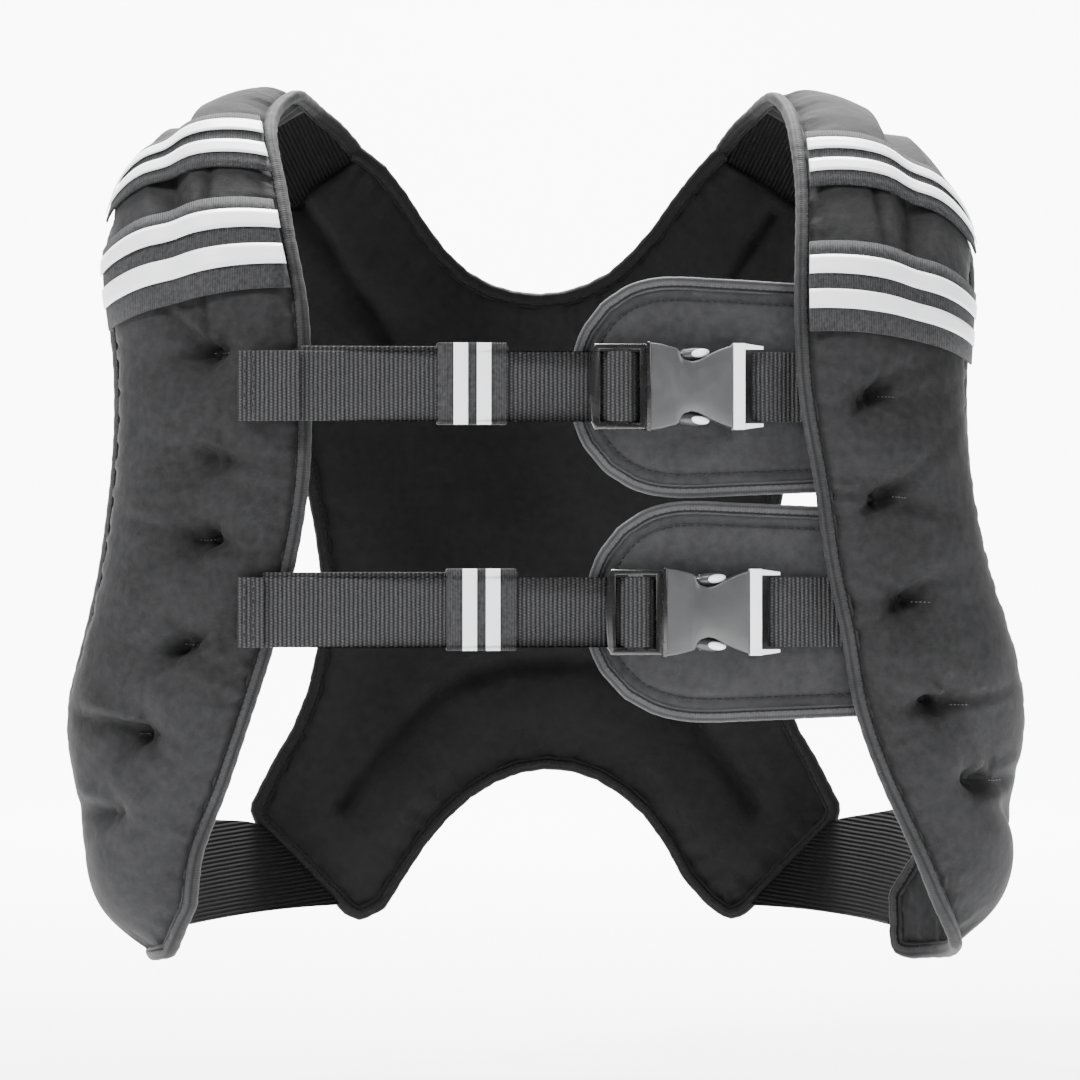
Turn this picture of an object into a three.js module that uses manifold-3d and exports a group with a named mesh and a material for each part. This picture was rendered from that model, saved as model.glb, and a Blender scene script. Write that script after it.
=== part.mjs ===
// A weighted vest in its worn form: two padded front panels over the shoulders, a padded
// X shaped back panel, ribbed elastics between them, and two buckled chest straps.
// Millimetres. +X is to the right as seen from the front, -Y is the front, +Z is up.
// The origin is where the vest sits, between the undersides of the two shoulders.
import * as THREE from "three";
import { mergeVertices } from "three/addons/utils/BufferGeometryUtils.js";
import Module from "manifold-3d";

const solids = await Module();
solids.setup();

// Overall sizes that the tables of sections follow
const HALF_WIDTH = 216;
const DROP = 380;
const FRONT_DEPTH = 100;
const BACK_DEPTH = 98;

// Padding and edges
const EDGE_THICKNESS = 4.6;
const FRONT_PAD = 13;
const FRONT_LINING_PAD = 3.5;
const FRONT_ROUNDNESS = 0.55;
const FRONT_END_ROWS = { top: 0.9, hem: 0.7 };
const BACK_PAD = 6;
const BACK_EDGE_SHARE = { down: 0.24, across: 0.17 };
const BACK_GROOVE_WIDTH = 7;
const BACK_GROOVE_DEPTH = 3.6;
const TUFT_RADIUS = 15;
const TUFT_DEPTH = 8.5;
const TUFT_STEEPNESS = 1.6;
const BINDING_RADIUS = 3.2;
const HEM_CORNER = 13;
const HEM_CORNER_ROWS = 0.7;
const CLEARANCE = 0.3;
const BINDING_SEAT = 0.6;
const BINDING_JOINT = 1.6;

// Elastics
const ELASTIC_THICKNESS = 2.2;
const SHOULDER_PULL = 0.45;
const SIDE_ELASTIC_BULGE = 8;

// The back bends round the torso, and comes forward over its top part
const BACK_ROUND_WIDTH = 1.12 * HALF_WIDTH;
const BACK_RISE = 0.33 * DROP;
const BACK_FORWARD = 0.55;
const BACK_END_EASE = 0.45;
const BACK_SIDE_EASE = 0.6;

// Webbing, its keepers and its buckles
const WEBBING_WIDTH = 30;
const WEBBING_THICKNESS = 1.6;
const UPPER_STRAP_Z = -131;
const LOWER_STRAP_Z = -228;
const STRAP_START_X = -131;
const TAB_LENGTH = 9;
const TAIL_RAISE = 2.2;
const UPPER_KEEPER_X = -47;
const LOWER_KEEPER_X = -43;
const TAIL_BEYOND_KEEPER = 1;
const STRAP_FOLD = 0.6;
const HOOK_FOLD = 1.6;
const KEEPER_LENGTH = 30;
const KEEPER_WALL = 1.2;
const KEEPER_STRIPE_WIDTH = 6.2;
const KEEPER_STRIPE_SPACING = 10;
const STRIPE_THICKNESS = 0.5;
const UPPER_BUCKLE_X = 19;
const LOWER_BUCKLE_X = 26;
const PLUG_LENGTH = 24;
const PLUG_BAR = 3.6;
const PLUG_SLOT = 5.4;
const PLUG_MIDDLE = 6.6;
const PRONG_LENGTH = 21;
const SOCKET_LENGTH = 37;
const HOOK_LENGTH = 13.5;
const BUCKLE_HEIGHT = 37;
const PLUG_THICKNESS = 4.4;
const SOCKET_THICKNESS = 10.5;
const NOTCH_START = 0.42;
const NOTCH_LENGTH = 13;
const NOTCH_DEPTH = 6;
const HOOK_BAR = 2.8;
const HOOK_SLOT = 6.7;
const HOOK_THICKNESS = 3;
const HOOK_SPREAD = 0.6;
const BUCKLE_CHAMFER = 1.5;
const BUCKLE_SIDE_ROOM = 1;
const PLUG_BOW = 0.8;
const POCKET_ROOM = 0.4;
const POCKET_WALL = 1.2;
const SOCKET_RISE = 1.3;

// Half of the prongs' outline, from the frame to the tip and back, in shares of
// PRONG_LENGTH and of half of BUCKLE_HEIGHT
const PRONG_OUTLINE = [
  [0, 0.86], [0.67, 0.80], [0.76, 0.91], [1, 0.64], [0.71, 0.56], [0.1, 0.59],
];

// Padded flaps behind the buckles
const FLAP_THICKNESS = 5;
const FLAP_EDGE_THICKNESS = 3;
const FLAP_BINDING_RADIUS = 2.5;
const FLAP_HALF_HEIGHT = 45;
const UPPER_FLAP_X = 13;
const LOWER_FLAP_X = 19.5;
const FLAP_UNDER_PANEL = 7;
const FLAP_ROUND = 0.4;
const FLAP_SQUARENESS = 2.2;
const FLAP_TAPER = 0.1;
const FLAP_EASE = 30;
const FLAP_CELL_SPREAD = 1.6;
const FLAP_EDGE_SLOPE = 4;
const FLAP_TIP_EDGE = 0.05;

// Reflective bands over the front panels
const BAND_THICKNESS = 1.2;
const BAND_LIFT = 0.7;
const BAND_DIP = 0.5;

// Front panels. Each row is a section across the panel, from the end behind the shoulder
// down to the hem. innerX and outerX are shares of HALF_WIDTH, innerY and outerY of
// FRONT_DEPTH, innerZ and outerZ of DROP, bow and sag of HALF_WIDTH. They place the
// middle of the bound edges, and how far the section bows out between them.
const PANEL_COLUMNS = ["innerX", "innerY", "innerZ", "outerX", "outerY", "outerZ", "bow", "sag"];
const LEFT_SECTIONS = [
  [0.500, 0.170, 0.002, 0.800, 0.330, -0.125, 0.030, 0],
  [0.522, 0.000, 0.010, 0.842, 0.140, -0.112, 0.030, 0],
  [0.562, -0.190, -0.012, 0.868, -0.040, -0.126, 0.030, 0],
  [0.568, -0.420, -0.050, 0.886, -0.200, -0.150, 0.032, 0],
  [0.542, -0.630, -0.115, 0.893, -0.310, -0.178, 0.036, 0],
  [0.520, -0.790, -0.178, 0.892, -0.400, -0.225, 0.040, 0],
  [0.492, -0.910, -0.258, 0.872, -0.470, -0.300, 0.040, 0],
  [0.484, -0.980, -0.360, 0.868, -0.500, -0.390, 0.040, 0],
  [0.488, -1.010, -0.450, 0.880, -0.520, -0.478, 0.040, 0],
  [0.514, -1.000, -0.541, 0.905, -0.500, -0.571, 0.042, 0],
  [0.556, -0.970, -0.632, 0.945, -0.420, -0.658, 0.055, 0],
  [0.602, -0.920, -0.712, 0.975, -0.260, -0.736, 0.072, 0],
  [0.655, -0.850, -0.800, 0.915, -0.090, -0.815, 0.098, 0],
  [0.710, -0.770, -0.885, 0.830, 0.030, -0.895, 0.115, 0],
  [0.722, -0.690, -0.972, 0.745, 0.110, -0.985, 0.090, 0],
];
const RIGHT_SECTIONS = [
  [0.455, 0.170, 0.000, 0.790, 0.330, -0.135, 0.030, 0],
  [0.478, 0.000, 0.008, 0.825, 0.140, -0.125, 0.030, 0],
  [0.506, -0.190, -0.014, 0.848, -0.040, -0.142, 0.030, 0],
  [0.516, -0.420, -0.052, 0.862, -0.200, -0.166, 0.032, 0],
  [0.523, -0.630, -0.115, 0.868, -0.340, -0.203, 0.036, 0],
  [0.518, -0.800, -0.190, 0.860, -0.430, -0.250, 0.040, 0],
  [0.514, -0.910, -0.268, 0.848, -0.480, -0.312, 0.040, 0],
  [0.522, -0.980, -0.360, 0.847, -0.510, -0.392, 0.040, 0],
  [0.549, -1.010, -0.450, 0.862, -0.520, -0.478, 0.040, 0],
  [0.573, -1.000, -0.541, 0.900, -0.500, -0.571, 0.042, 0],
  [0.608, -0.970, -0.632, 0.952, -0.420, -0.660, 0.055, 0],
  [0.635, -0.920, -0.712, 0.965, -0.240, -0.742, 0.075, 0],
  [0.690, -0.850, -0.795, 0.885, -0.060, -0.818, 0.110, 0],
  [0.755, -0.760, -0.875, 0.785, 0.060, -0.900, 0.130, -0.010],
  [0.815, -0.640, -0.960, 0.690, 0.150, -0.990, 0.085, -0.030],
];

// Tufts: row is the place along the rows above, across is the share from the inner edge
const LEFT_TUFTS = [
  [6.5, 0.5, 0.75],
  [7.75, 0.5, 1],
  [8.75, 0.5, 0.75],
  [10, 0.5, 1],
  [11.2, 0.5, 1],
  [12.3, 0.52, 0.6],
];
const RIGHT_TUFTS = [
  [7, 0.45, 0.75],
  [8.25, 0.45, 1],
  [9.55, 0.5, 1],
  [10.9, 0.52, 1],
  [11.9, 0.6, 0.9],
];
// The centre seam parts the shoulder into two chambers down to this row
const SEAM_END_ROW = 6;
const SEAM_DEPTH = 0.62;
const SEAM_WIDTH = 0.075;

// Bands: from row and to row at the inner edge, and how many rows the outer edge is later
const LEFT_BANDS = { upper: [2.75, 3.85, -0.35], lower: [4.4, 5.75, 0] };
const RIGHT_BANDS = { upper: [3.1, 4.1, -0.2], lower: [4.95, 6.2, -0.1] };
const BAND_ACROSS = [0.045, 0.955];
const BAND_STRIPES = [[0.17, 0.38], [0.56, 0.77]];

// Back panel outlines in the X and Z shares of HALF_WIDTH and DROP, left half and right
// half listed from left to right. The depth comes from backDepth.
const NECKLINE = [
  [-0.345, -0.070], [-0.276, -0.128], [-0.215, -0.172], [-0.138, -0.204], [0.005, -0.219],
  [0.138, -0.195], [0.205, -0.162], [0.256, -0.128], [0.310, -0.084],
];
const ARM_END = { leftX: -0.415, rightX: 0.385, neckZ: -0.040, armholeX: 0.690, armholeZ: -0.150 };
const ARCH = [
  [-0.355, -0.968], [-0.303, -0.917], [-0.211, -0.853], [-0.119, -0.815], [-0.023, -0.798],
  [0.068, -0.801], [0.160, -0.825], [0.253, -0.875], [0.308, -0.932], [0.352, -0.962],
];
const LOBE_CORNER = [0.640, -0.858];
const LOBE_TIP = [[0.560, -0.902], [0.475, -0.952], [0.415, -0.984]];
// Where a side elastic meets the panel, in rows, and the lobe, in shares of the lower edge
const SIDE_ELASTIC_ROWS = [12.5, 0.55];
const SIDE_ELASTIC_LOBE = [0.018, 0.155];
const ARMHOLE = [
  [0.600, -0.240], [0.550, -0.340], [0.512, -0.450], [0.476, -0.590], [0.520, -0.728],
  [0.575, -0.785],
];
// Quilted grooves of the back, as polylines in the same shares
const BACK_GROOVES = [
  [[-0.560, -0.150], [-0.460, -0.190], [-0.350, -0.262], [-0.300, -0.320]],
  [[0.560, -0.150], [0.460, -0.190], [0.360, -0.262], [0.310, -0.320]],
  [[-0.420, -0.838], [-0.303, -0.735], [-0.205, -0.665], [-0.080, -0.632], [0.090, -0.632],
    [0.220, -0.665], [0.325, -0.735], [0.440, -0.838]],
];

// Mesh densities
const PANEL_ROWS = 33;
const PANEL_ROW_SPREAD = 0.03;
const PANEL_CELLS = 10;
const BACK_CELLS_ACROSS = 24;
const BACK_CELLS_DOWN = 14;
const BINDING_SIDES = 6;
const BINDING_STEP = 15.5;
const ELASTIC_CELLS = 6;
const BAND_ROWS = 2;
const BAND_CELLS = 12;
const FLAP_ROWS = 6;
const FLAP_CELLS = 8;
const FLAP_STEP = 12;

const NEOPRENE = { color: 0x505055, roughness: 0.82, metalness: 0 };
const LINING = { color: 0x1c1d1f, roughness: 0.9, metalness: 0 };
const BINDING = { color: 0x4c4c50, roughness: 0.7, metalness: 0 };
const BACK_BINDING = { color: 0x161617, roughness: 0.8, metalness: 0 };
const ELASTIC = { color: 0x1f1f21, roughness: 0.95, metalness: 0 };
const WEBBING = { color: 0x626266, roughness: 0.85, metalness: 0 };
const BAND = { color: 0x4d4d50, roughness: 0.85, metalness: 0 };
const REFLECTIVE = { color: 0xe2e2e6, roughness: 0.4, metalness: 0 };
const FLAP = { color: 0x56565a, roughness: 0.8, metalness: 0 };
const FLAP_BINDING = { color: 0x67676b, roughness: 0.7, metalness: 0 };
const FRAME_PLASTIC = { color: 0x2b2b2d, roughness: 0.3, metalness: 0 };
const BODY_PLASTIC = { color: 0x87878b, roughness: 0.35, metalness: 0 };

const group = new THREE.Group();

const vector = (x, y, z) => new THREE.Vector3(x, y, z);
const mix = THREE.MathUtils.lerp;
const clamp = THREE.MathUtils.clamp;
const smooth = THREE.MathUtils.smoothstep;

// Spreads even shares so that they lie closer together towards both edges
function evenToEdges(share) {
  return mix(share, 0.5 - 0.5 * Math.cos(Math.PI * share), 0.5);
}

function addMesh(name, geometry, finish) {
  const mesh = new THREE.Mesh(geometry, new THREE.MeshStandardMaterial(finish));
  mesh.name = name;
  group.add(mesh);
}

function mirrored(geometry) {
  const turned = mergeVertices(geometry).scale(-1, 1, 1);
  const index = turned.index.array;
  for (let i = 0; i < index.length; i += 3) {
    [index[i + 1], index[i + 2]] = [index[i + 2], index[i + 1]];
  }
  return turned;
}

// A closed slab between two grids of points of the same size. The face grid is the side
// that the normals leave, with rows running down and cells running to the right.
function slab(face, rear) {
  const rows = face.length;
  const cells = face[0].length;
  const positions = [];
  for (const grid of [face, rear]) {
    for (const row of grid) {
      row.forEach((p) => positions.push(p.x, p.y, p.z));
    }
  }
  const at = (layer, i, j) => layer * rows * cells + i * cells + j;
  const index = [];
  const quad = (a, b, c, d) => index.push(a, b, c, a, c, d);
  for (let i = 0; i < rows - 1; i += 1) {
    for (let j = 0; j < cells - 1; j += 1) {
      quad(at(0, i, j), at(0, i + 1, j), at(0, i + 1, j + 1), at(0, i, j + 1));
      quad(at(1, i, j), at(1, i, j + 1), at(1, i + 1, j + 1), at(1, i + 1, j));
    }
  }
  for (let i = 0; i < rows - 1; i += 1) {
    quad(at(0, i, 0), at(1, i, 0), at(1, i + 1, 0), at(0, i + 1, 0));
    quad(at(0, i, cells - 1), at(0, i + 1, cells - 1), at(1, i + 1, cells - 1), at(1, i, cells - 1));
  }
  for (let j = 0; j < cells - 1; j += 1) {
    quad(at(0, 0, j), at(0, 0, j + 1), at(1, 0, j + 1), at(1, 0, j));
    quad(at(0, rows - 1, j), at(1, rows - 1, j), at(1, rows - 1, j + 1), at(0, rows - 1, j + 1));
  }
  const geometry = new THREE.BufferGeometry();
  geometry.setAttribute("position", new THREE.Float32BufferAttribute(positions, 3));
  geometry.setIndex(index);
  geometry.computeVertexNormals();
  return geometry;
}

// A round bound edge along a list of points
function edgeTube(points, radius, stepLength, sides = BINDING_SIDES) {
  const path = new THREE.CatmullRomCurve3(points, false, "centripetal");
  const section = new THREE.Shape();
  for (let k = 0; k < sides; k += 1) {
    const angle = (2 * Math.PI * (k + 0.5)) / sides;
    const x = radius * Math.cos(angle);
    const y = radius * Math.sin(angle);
    if (k === 0) section.moveTo(x, y);
    else section.lineTo(x, y);
  }
  const steps = Math.max(8, Math.round(path.getLength() / stepLength));
  return new THREE.ExtrudeGeometry(section, { steps, extrudePath: path, bevelEnabled: false });
}

function catmull(a, b, c, d, t) {
  const bend = 2 * a - 5 * b + 4 * c - d + t * (3 * (b - c) + d - a);
  return b + 0.5 * t * (c - a + t * bend);
}

function sectionAt(rows, row) {
  const place = clamp(row, 0, rows.length - 1);
  const k = Math.min(Math.floor(place), rows.length - 2);
  const t = place - k;
  const section = {};
  PANEL_COLUMNS.forEach((name, column) => {
    const pick = (i) => {
      if (i < 0) return 2 * rows[0][column] - rows[1][column];
      if (i >= rows.length) return 2 * rows[rows.length - 1][column] - rows[rows.length - 2][column];
      return rows[i][column];
    };
    section[name] = catmull(pick(k - 1), pick(k), pick(k + 1), pick(k + 2), t);
  });
  return section;
}

// The middle surface of a front panel, built on the right side. Row runs down, across
// runs from the inner edge to the outer edge.
class FrontPanel {
  constructor(rows, tufts) {
    this.rows = rows;
    this.tufts = tufts;
    this.last = rows.length - 1;
  }

  inner(row) {
    const s = sectionAt(this.rows, row);
    return vector(s.innerX * HALF_WIDTH, s.innerY * FRONT_DEPTH, s.innerZ * DROP);
  }

  outer(row) {
    const s = sectionAt(this.rows, row);
    return vector(s.outerX * HALF_WIDTH, s.outerY * FRONT_DEPTH, s.outerZ * DROP);
  }

  middle(row, across) {
    const s = sectionAt(this.rows, row);
    const inner = this.inner(row);
    const outer = this.outer(row);
    const chord = outer.clone().sub(inner);
    const next = Math.min(row + 0.5, this.last);
    const before = Math.max(row - 0.5, 0);
    const down = this.inner(next).add(this.outer(next));
    down.sub(this.inner(before)).sub(this.outer(before));
    const out = down.cross(chord).normalize();
    const arch = 4 * across * (1 - across);
    const point = inner.lerp(outer, across);
    point.addScaledVector(out, s.bow * HALF_WIDTH * arch);
    point.z += s.sag * HALF_WIDTH * arch;
    return point;
  }

  normal(row, across) {
    const h = 0.05;
    const k = 0.02;
    const down = this.middle(Math.min(row + h, this.last), across);
    down.sub(this.middle(Math.max(row - h, 0), across));
    const over = this.middle(row, Math.min(across + k, 1));
    over.sub(this.middle(row, Math.max(across - k, 0)));
    return down.cross(over).normalize();
  }

  width(row) {
    let length = 0;
    for (let k = 0; k < 6; k += 1) {
      length += this.middle(row, k / 6).distanceTo(this.middle(row, (k + 1) / 6));
    }
    return length;
  }

  // Share of the full padding at a place, without seams and tufts
  fill(row, across) {
    const toTop = row / FRONT_END_ROWS.top;
    const toHem = (this.last - row) / FRONT_END_ROWS.hem;
    const ends = Math.sqrt(clamp(Math.min(toTop, toHem), 0, 1));
    return ends * Math.sin(Math.PI * clamp(across, 0.001, 0.999)) ** FRONT_ROUNDNESS;
  }

  seam(row, across) {
    const along = 1 - smooth(row, SEAM_END_ROW - 1, SEAM_END_ROW + 0.6);
    const side = (across - 0.5) / SEAM_WIDTH;
    return SEAM_DEPTH * along * Math.exp(-side * side);
  }

  outerLift(row, across) {
    const round = this.fill(row, across);
    let lift = FRONT_PAD * round * (1 - this.seam(row, across));
    const here = this.middle(row, across);
    for (const [tuftRow, tuftAcross, strength] of this.tufts) {
      const reach = here.distanceTo(this.middle(tuftRow, tuftAcross)) / TUFT_RADIUS;
      lift -= TUFT_DEPTH * strength * Math.exp(-reach * reach * TUFT_STEEPNESS);
    }
    return EDGE_THICKNESS / 2 + Math.max(lift, 0);
  }

  face(row, across, extra = 0) {
    const lift = this.outerLift(row, across) + extra;
    return this.middle(row, across).addScaledVector(this.normal(row, across), lift);
  }

  lining(row, across, extra = 0) {
    const lift = EDGE_THICKNESS / 2 + FRONT_LINING_PAD * this.fill(row, across) + extra;
    return this.middle(row, across).addScaledVector(this.normal(row, across), -lift);
  }

  // Row and share across where a surface of the panel has a given X and Z
  locate(x, z, surface) {
    let row = 8;
    let across = 0.3;
    for (let k = 0; k < 30; k += 1) {
      const p = this[surface](row, across);
      const downZ = this.middle(row + 0.05, across).z - this.middle(row, across).z;
      const overX = this.middle(row, across + 0.02).x - this.middle(row, across).x;
      row = clamp(row + 0.6 * ((z - p.z) / downZ) * 0.05, 3, this.last - 2);
      across = clamp(across + 0.6 * ((x - p.x) / overX) * 0.02, 0.01, 0.99);
    }
    return { row, across };
  }
}

const leftPanel = new FrontPanel(LEFT_SECTIONS, LEFT_TUFTS);
const rightPanel = new FrontPanel(RIGHT_SECTIONS, RIGHT_TUFTS);

const EDGE_INSET = BINDING_RADIUS + BINDING_SEAT;
const BACK_INSET = EDGE_INSET + 2.6 * BINDING_SEAT;

function frontPanelGeometry(panel) {
  const face = [];
  const rear = [];
  for (let i = 0; i <= PANEL_ROWS; i += 1) {
    const t = i / PANEL_ROWS;
    const row = panel.last * (t + PANEL_ROW_SPREAD * Math.sin(2 * Math.PI * t));
    const width = panel.width(row);
    const toHem = (panel.last - row) / HEM_CORNER_ROWS;
    const corner = toHem < 1 ? HEM_CORNER * (1 - Math.sqrt(1 - (1 - toHem) ** 2)) : 0;
    const inset = (EDGE_INSET + corner) / width;
    const faceRow = [];
    const rearRow = [];
    for (let j = 0; j <= PANEL_CELLS; j += 1) {
      const across = mix(inset, 1 - inset, evenToEdges(j / PANEL_CELLS));
      faceRow.push(panel.face(row, across));
      rearRow.push(panel.lining(row, across));
    }
    face.push(faceRow);
    rear.push(rearRow);
  }
  return slab(face, rear);
}

// Depth of the back at a place, a rounded torso that comes forward to the shoulders
function backDepth(x, z) {
  const round = Math.sqrt(1 - (x / BACK_ROUND_WIDTH) ** 2);
  const rise = Math.max(0, z / BACK_RISE + 1);
  return BACK_DEPTH * round * (1 - BACK_FORWARD * rise * rise);
}

function onBack(xShare, zShare) {
  const x = xShare * HALF_WIDTH;
  const z = zShare * DROP;
  return vector(x, backDepth(x, z), z);
}

function backCurve(points) {
  const path = new THREE.CatmullRomCurve3(points.map(([x, z]) => vector(x, 0, z)), false, "centripetal");
  return (t) => {
    const p = path.getPointAt(clamp(t, 0, 1));
    return [p.x, p.z];
  };
}

const neckCurve = backCurve([
  [ARM_END.leftX, ARM_END.neckZ], ...NECKLINE, [ARM_END.rightX, ARM_END.neckZ],
]);
const flip = ([x, z]) => [-x, z];
const lobe = [LOBE_CORNER, ...LOBE_TIP];
const bottomCurve = backCurve([...lobe.map(flip), ...ARCH, ...lobe.reverse()]);
const armholeCurve = backCurve([[ARM_END.armholeX, ARM_END.armholeZ], ...ARMHOLE, LOBE_CORNER]);

// Share of the upper edge of the back that each arm end takes
const ARM_SHARE = 0.17;

function backTop(u) {
  const side = u < 0.5 ? -1 : 1;
  const fromEdge = Math.min(u, 1 - u) / ARM_SHARE;
  if (fromEdge > 1) return neckCurve((u - ARM_SHARE) / (1 - 2 * ARM_SHARE));
  const neckX = side < 0 ? ARM_END.leftX : ARM_END.rightX;
  return [mix(side * ARM_END.armholeX, neckX, fromEdge), mix(ARM_END.armholeZ, ARM_END.neckZ, fromEdge)];
}

function backSide(v, sign) {
  const [x, z] = armholeCurve(v);
  return [sign * x, z];
}

// An outline moved inwards by a length, given a place along it in shares
function insetOutline(outline, t, length, turn) {
  const before = outline(Math.max(t - 0.01, 0));
  const after = outline(Math.min(t + 0.01, 1));
  const along = new THREE.Vector2((after[0] - before[0]) * HALF_WIDTH, (after[1] - before[1]) * DROP);
  along.normalize();
  const [x, z] = outline(t);
  return [x + (turn * along.y * length) / HALF_WIDTH, z - (turn * along.x * length) / DROP];
}

// A patch that blends the four outlines, each moved inwards by a length
function backShare(u, v, length = 0) {
  const end = length / HALF_WIDTH;
  const over = (share) => mix(end * BACK_END_EASE, 1 - end * BACK_END_EASE, share);
  const down = (share) => mix(end * BACK_SIDE_EASE, 1 - end * BACK_SIDE_EASE, share);
  const top = (share) => insetOutline(backTop, over(share), length, 1);
  const bottom = (share) => insetOutline(bottomCurve, over(share), length, -1);
  const left = (share) => insetOutline((t) => backSide(t, -1), down(share), length, -1);
  const right = (share) => insetOutline((t) => backSide(t, 1), down(share), length, 1);
  const [here, below] = [top(u), bottom(u)];
  const corners = [top(0), top(1), bottom(0), bottom(1)];
  const sides = [left, right].map((side, k) => [0, 1].map((axis) => {
    const upper = corners[k][axis] - side(0)[axis];
    const lower = corners[k + 2][axis] - side(1)[axis];
    return side(v)[axis] + mix(upper, lower, v);
  }));
  return [0, 1].map((axis) => {
    const ruled = mix(here[axis], below[axis], v) + mix(sides[0][axis], sides[1][axis], u);
    const upper = mix(corners[0][axis], corners[1][axis], u);
    const lower = mix(corners[2][axis], corners[3][axis], u);
    return ruled - mix(upper, lower, v);
  });
}

function grooveDistance(x, z) {
  let nearest = Infinity;
  for (const line of BACK_GROOVES) {
    for (let k = 0; k < line.length - 1; k += 1) {
      const a = vector(line[k][0] * HALF_WIDTH, 0, line[k][1] * DROP);
      const b = vector(line[k + 1][0] * HALF_WIDTH, 0, line[k + 1][1] * DROP);
      const foot = new THREE.Line3(a, b).closestPointToPoint(vector(x, 0, z), true, vector(0, 0, 0));
      nearest = Math.min(nearest, foot.distanceTo(vector(x, 0, z)));
    }
  }
  return nearest;
}

function backNormal(x, z) {
  const h = 1;
  const over = vector(2 * h, backDepth(x + h, z) - backDepth(x - h, z), 0);
  const up = vector(0, backDepth(x, z + h) - backDepth(x, z - h), 2 * h);
  return up.cross(over).normalize();
}

function backPanelGeometry() {
  const outer = [];
  const lining = [];
  for (let i = 0; i <= BACK_CELLS_DOWN; i += 1) {
    const v = evenToEdges(i / BACK_CELLS_DOWN);
    const outerRow = [];
    const liningRow = [];
    for (let j = BACK_CELLS_ACROSS; j >= 0; j -= 1) {
      const u = j / BACK_CELLS_ACROSS;
      const p = onBack(...backShare(u, v, BACK_INSET));
      const fromEnds = Math.min(v, 1 - v) / BACK_EDGE_SHARE.down;
      const fromSides = Math.min(u, 1 - u) / BACK_EDGE_SHARE.across;
      const fill = Math.sqrt(Math.min(1, fromEnds, fromSides));
      const away = grooveDistance(p.x, p.z) / BACK_GROOVE_WIDTH;
      const groove = BACK_GROOVE_DEPTH * Math.exp(-away * away);
      const lift = EDGE_THICKNESS / 2 + Math.max(0, BACK_PAD * fill - groove);
      const out = backNormal(p.x, p.z);
      outerRow.push(p.clone().addScaledVector(out, lift));
      liningRow.push(p.clone().addScaledVector(out, -lift));
    }
    outer.push(outerRow);
    lining.push(liningRow);
  }
  return slab(outer, lining);
}

addMesh("right_front_panel", frontPanelGeometry(rightPanel), NEOPRENE);
addMesh("left_front_panel", mirrored(frontPanelGeometry(leftPanel)), NEOPRENE);
addMesh("back_panel", backPanelGeometry(), LINING);

// A sheet of even thickness over a grid of points, with normals taken from the grid
function sheet(grid, thickness) {
  const rows = grid.length;
  const cells = grid[0].length;
  const face = [];
  const rear = [];
  for (let i = 0; i < rows; i += 1) {
    const faceRow = [];
    const rearRow = [];
    for (let j = 0; j < cells; j += 1) {
      const down = grid[Math.min(i + 1, rows - 1)][j].clone().sub(grid[Math.max(i - 1, 0)][j]);
      const over = grid[i][Math.min(j + 1, cells - 1)].clone().sub(grid[i][Math.max(j - 1, 0)]);
      const out = down.cross(over).normalize();
      faceRow.push(grid[i][j].clone().addScaledVector(out, thickness / 2));
      rearRow.push(grid[i][j].clone().addScaledVector(out, -thickness / 2));
    }
    face.push(faceRow);
    rear.push(rearRow);
  }
  return slab(face, rear);
}

// The shoulder elastic runs from the rear end of a front panel down to the arm end of
// the back. It is built on the right, and side says which half of the back it meets.
function hermite(from, fromPull, to, toPull, t) {
  const point = from.clone().multiplyScalar(2 * t ** 3 - 3 * t ** 2 + 1);
  point.addScaledVector(fromPull, t ** 3 - 2 * t ** 2 + t);
  point.addScaledVector(to, 3 * t ** 2 - 2 * t ** 3);
  return point.addScaledVector(toPull, t ** 3 - t ** 2);
}

function backOnRight(side, u, v) {
  const point = onBack(...backShare(u, v));
  point.x *= side;
  return point;
}

function shoulderLine(panel, across, side) {
  const from = panel.middle(0, across);
  const start = from.clone().sub(panel.middle(0.4, across)).normalize();
  const u = side > 0 ? mix(1 - ARM_SHARE, 1, across) : mix(ARM_SHARE, 0, across);
  const to = backOnRight(side, u, 0);
  const end = backOnRight(side, u, 0.05).sub(to).normalize();
  const reach = from.distanceTo(to);
  const beyond = BACK_INSET - 2 * CLEARANCE;
  start.multiplyScalar(reach * SHOULDER_PULL);
  end.multiplyScalar(reach * SHOULDER_PULL);
  return { from, start, to, end, reach, beyond };
}

function shoulderPoint(line, t) {
  if (t > 1) return line.to.clone().addScaledVector(line.end, ((t - 1) * line.reach) / line.end.length());
  return hermite(line.from, line.start, line.to, line.end, t);
}

function shoulderElasticGeometry(panel, side) {
  const neck = shoulderLine(panel, 0, side);
  const armhole = shoulderLine(panel, 1, side);
  const grid = [];
  for (let i = 0; i <= ELASTIC_CELLS; i += 1) {
    const row = [];
    const along = 1 - i / ELASTIC_CELLS;
    const width = shoulderPoint(neck, along).distanceTo(shoulderPoint(armhole, along));
    const inset = EDGE_INSET / width;
    for (let j = 0; j <= ELASTIC_CELLS; j += 1) {
      const line = shoulderLine(panel, mix(inset, 1 - inset, j / ELASTIC_CELLS), side);
      row.push(shoulderPoint(line, mix(0.5 / line.reach, 1 + line.beyond / line.reach, along)));
    }
    grid.push(row);
  }
  return sheet(grid, ELASTIC_THICKNESS);
}

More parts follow.
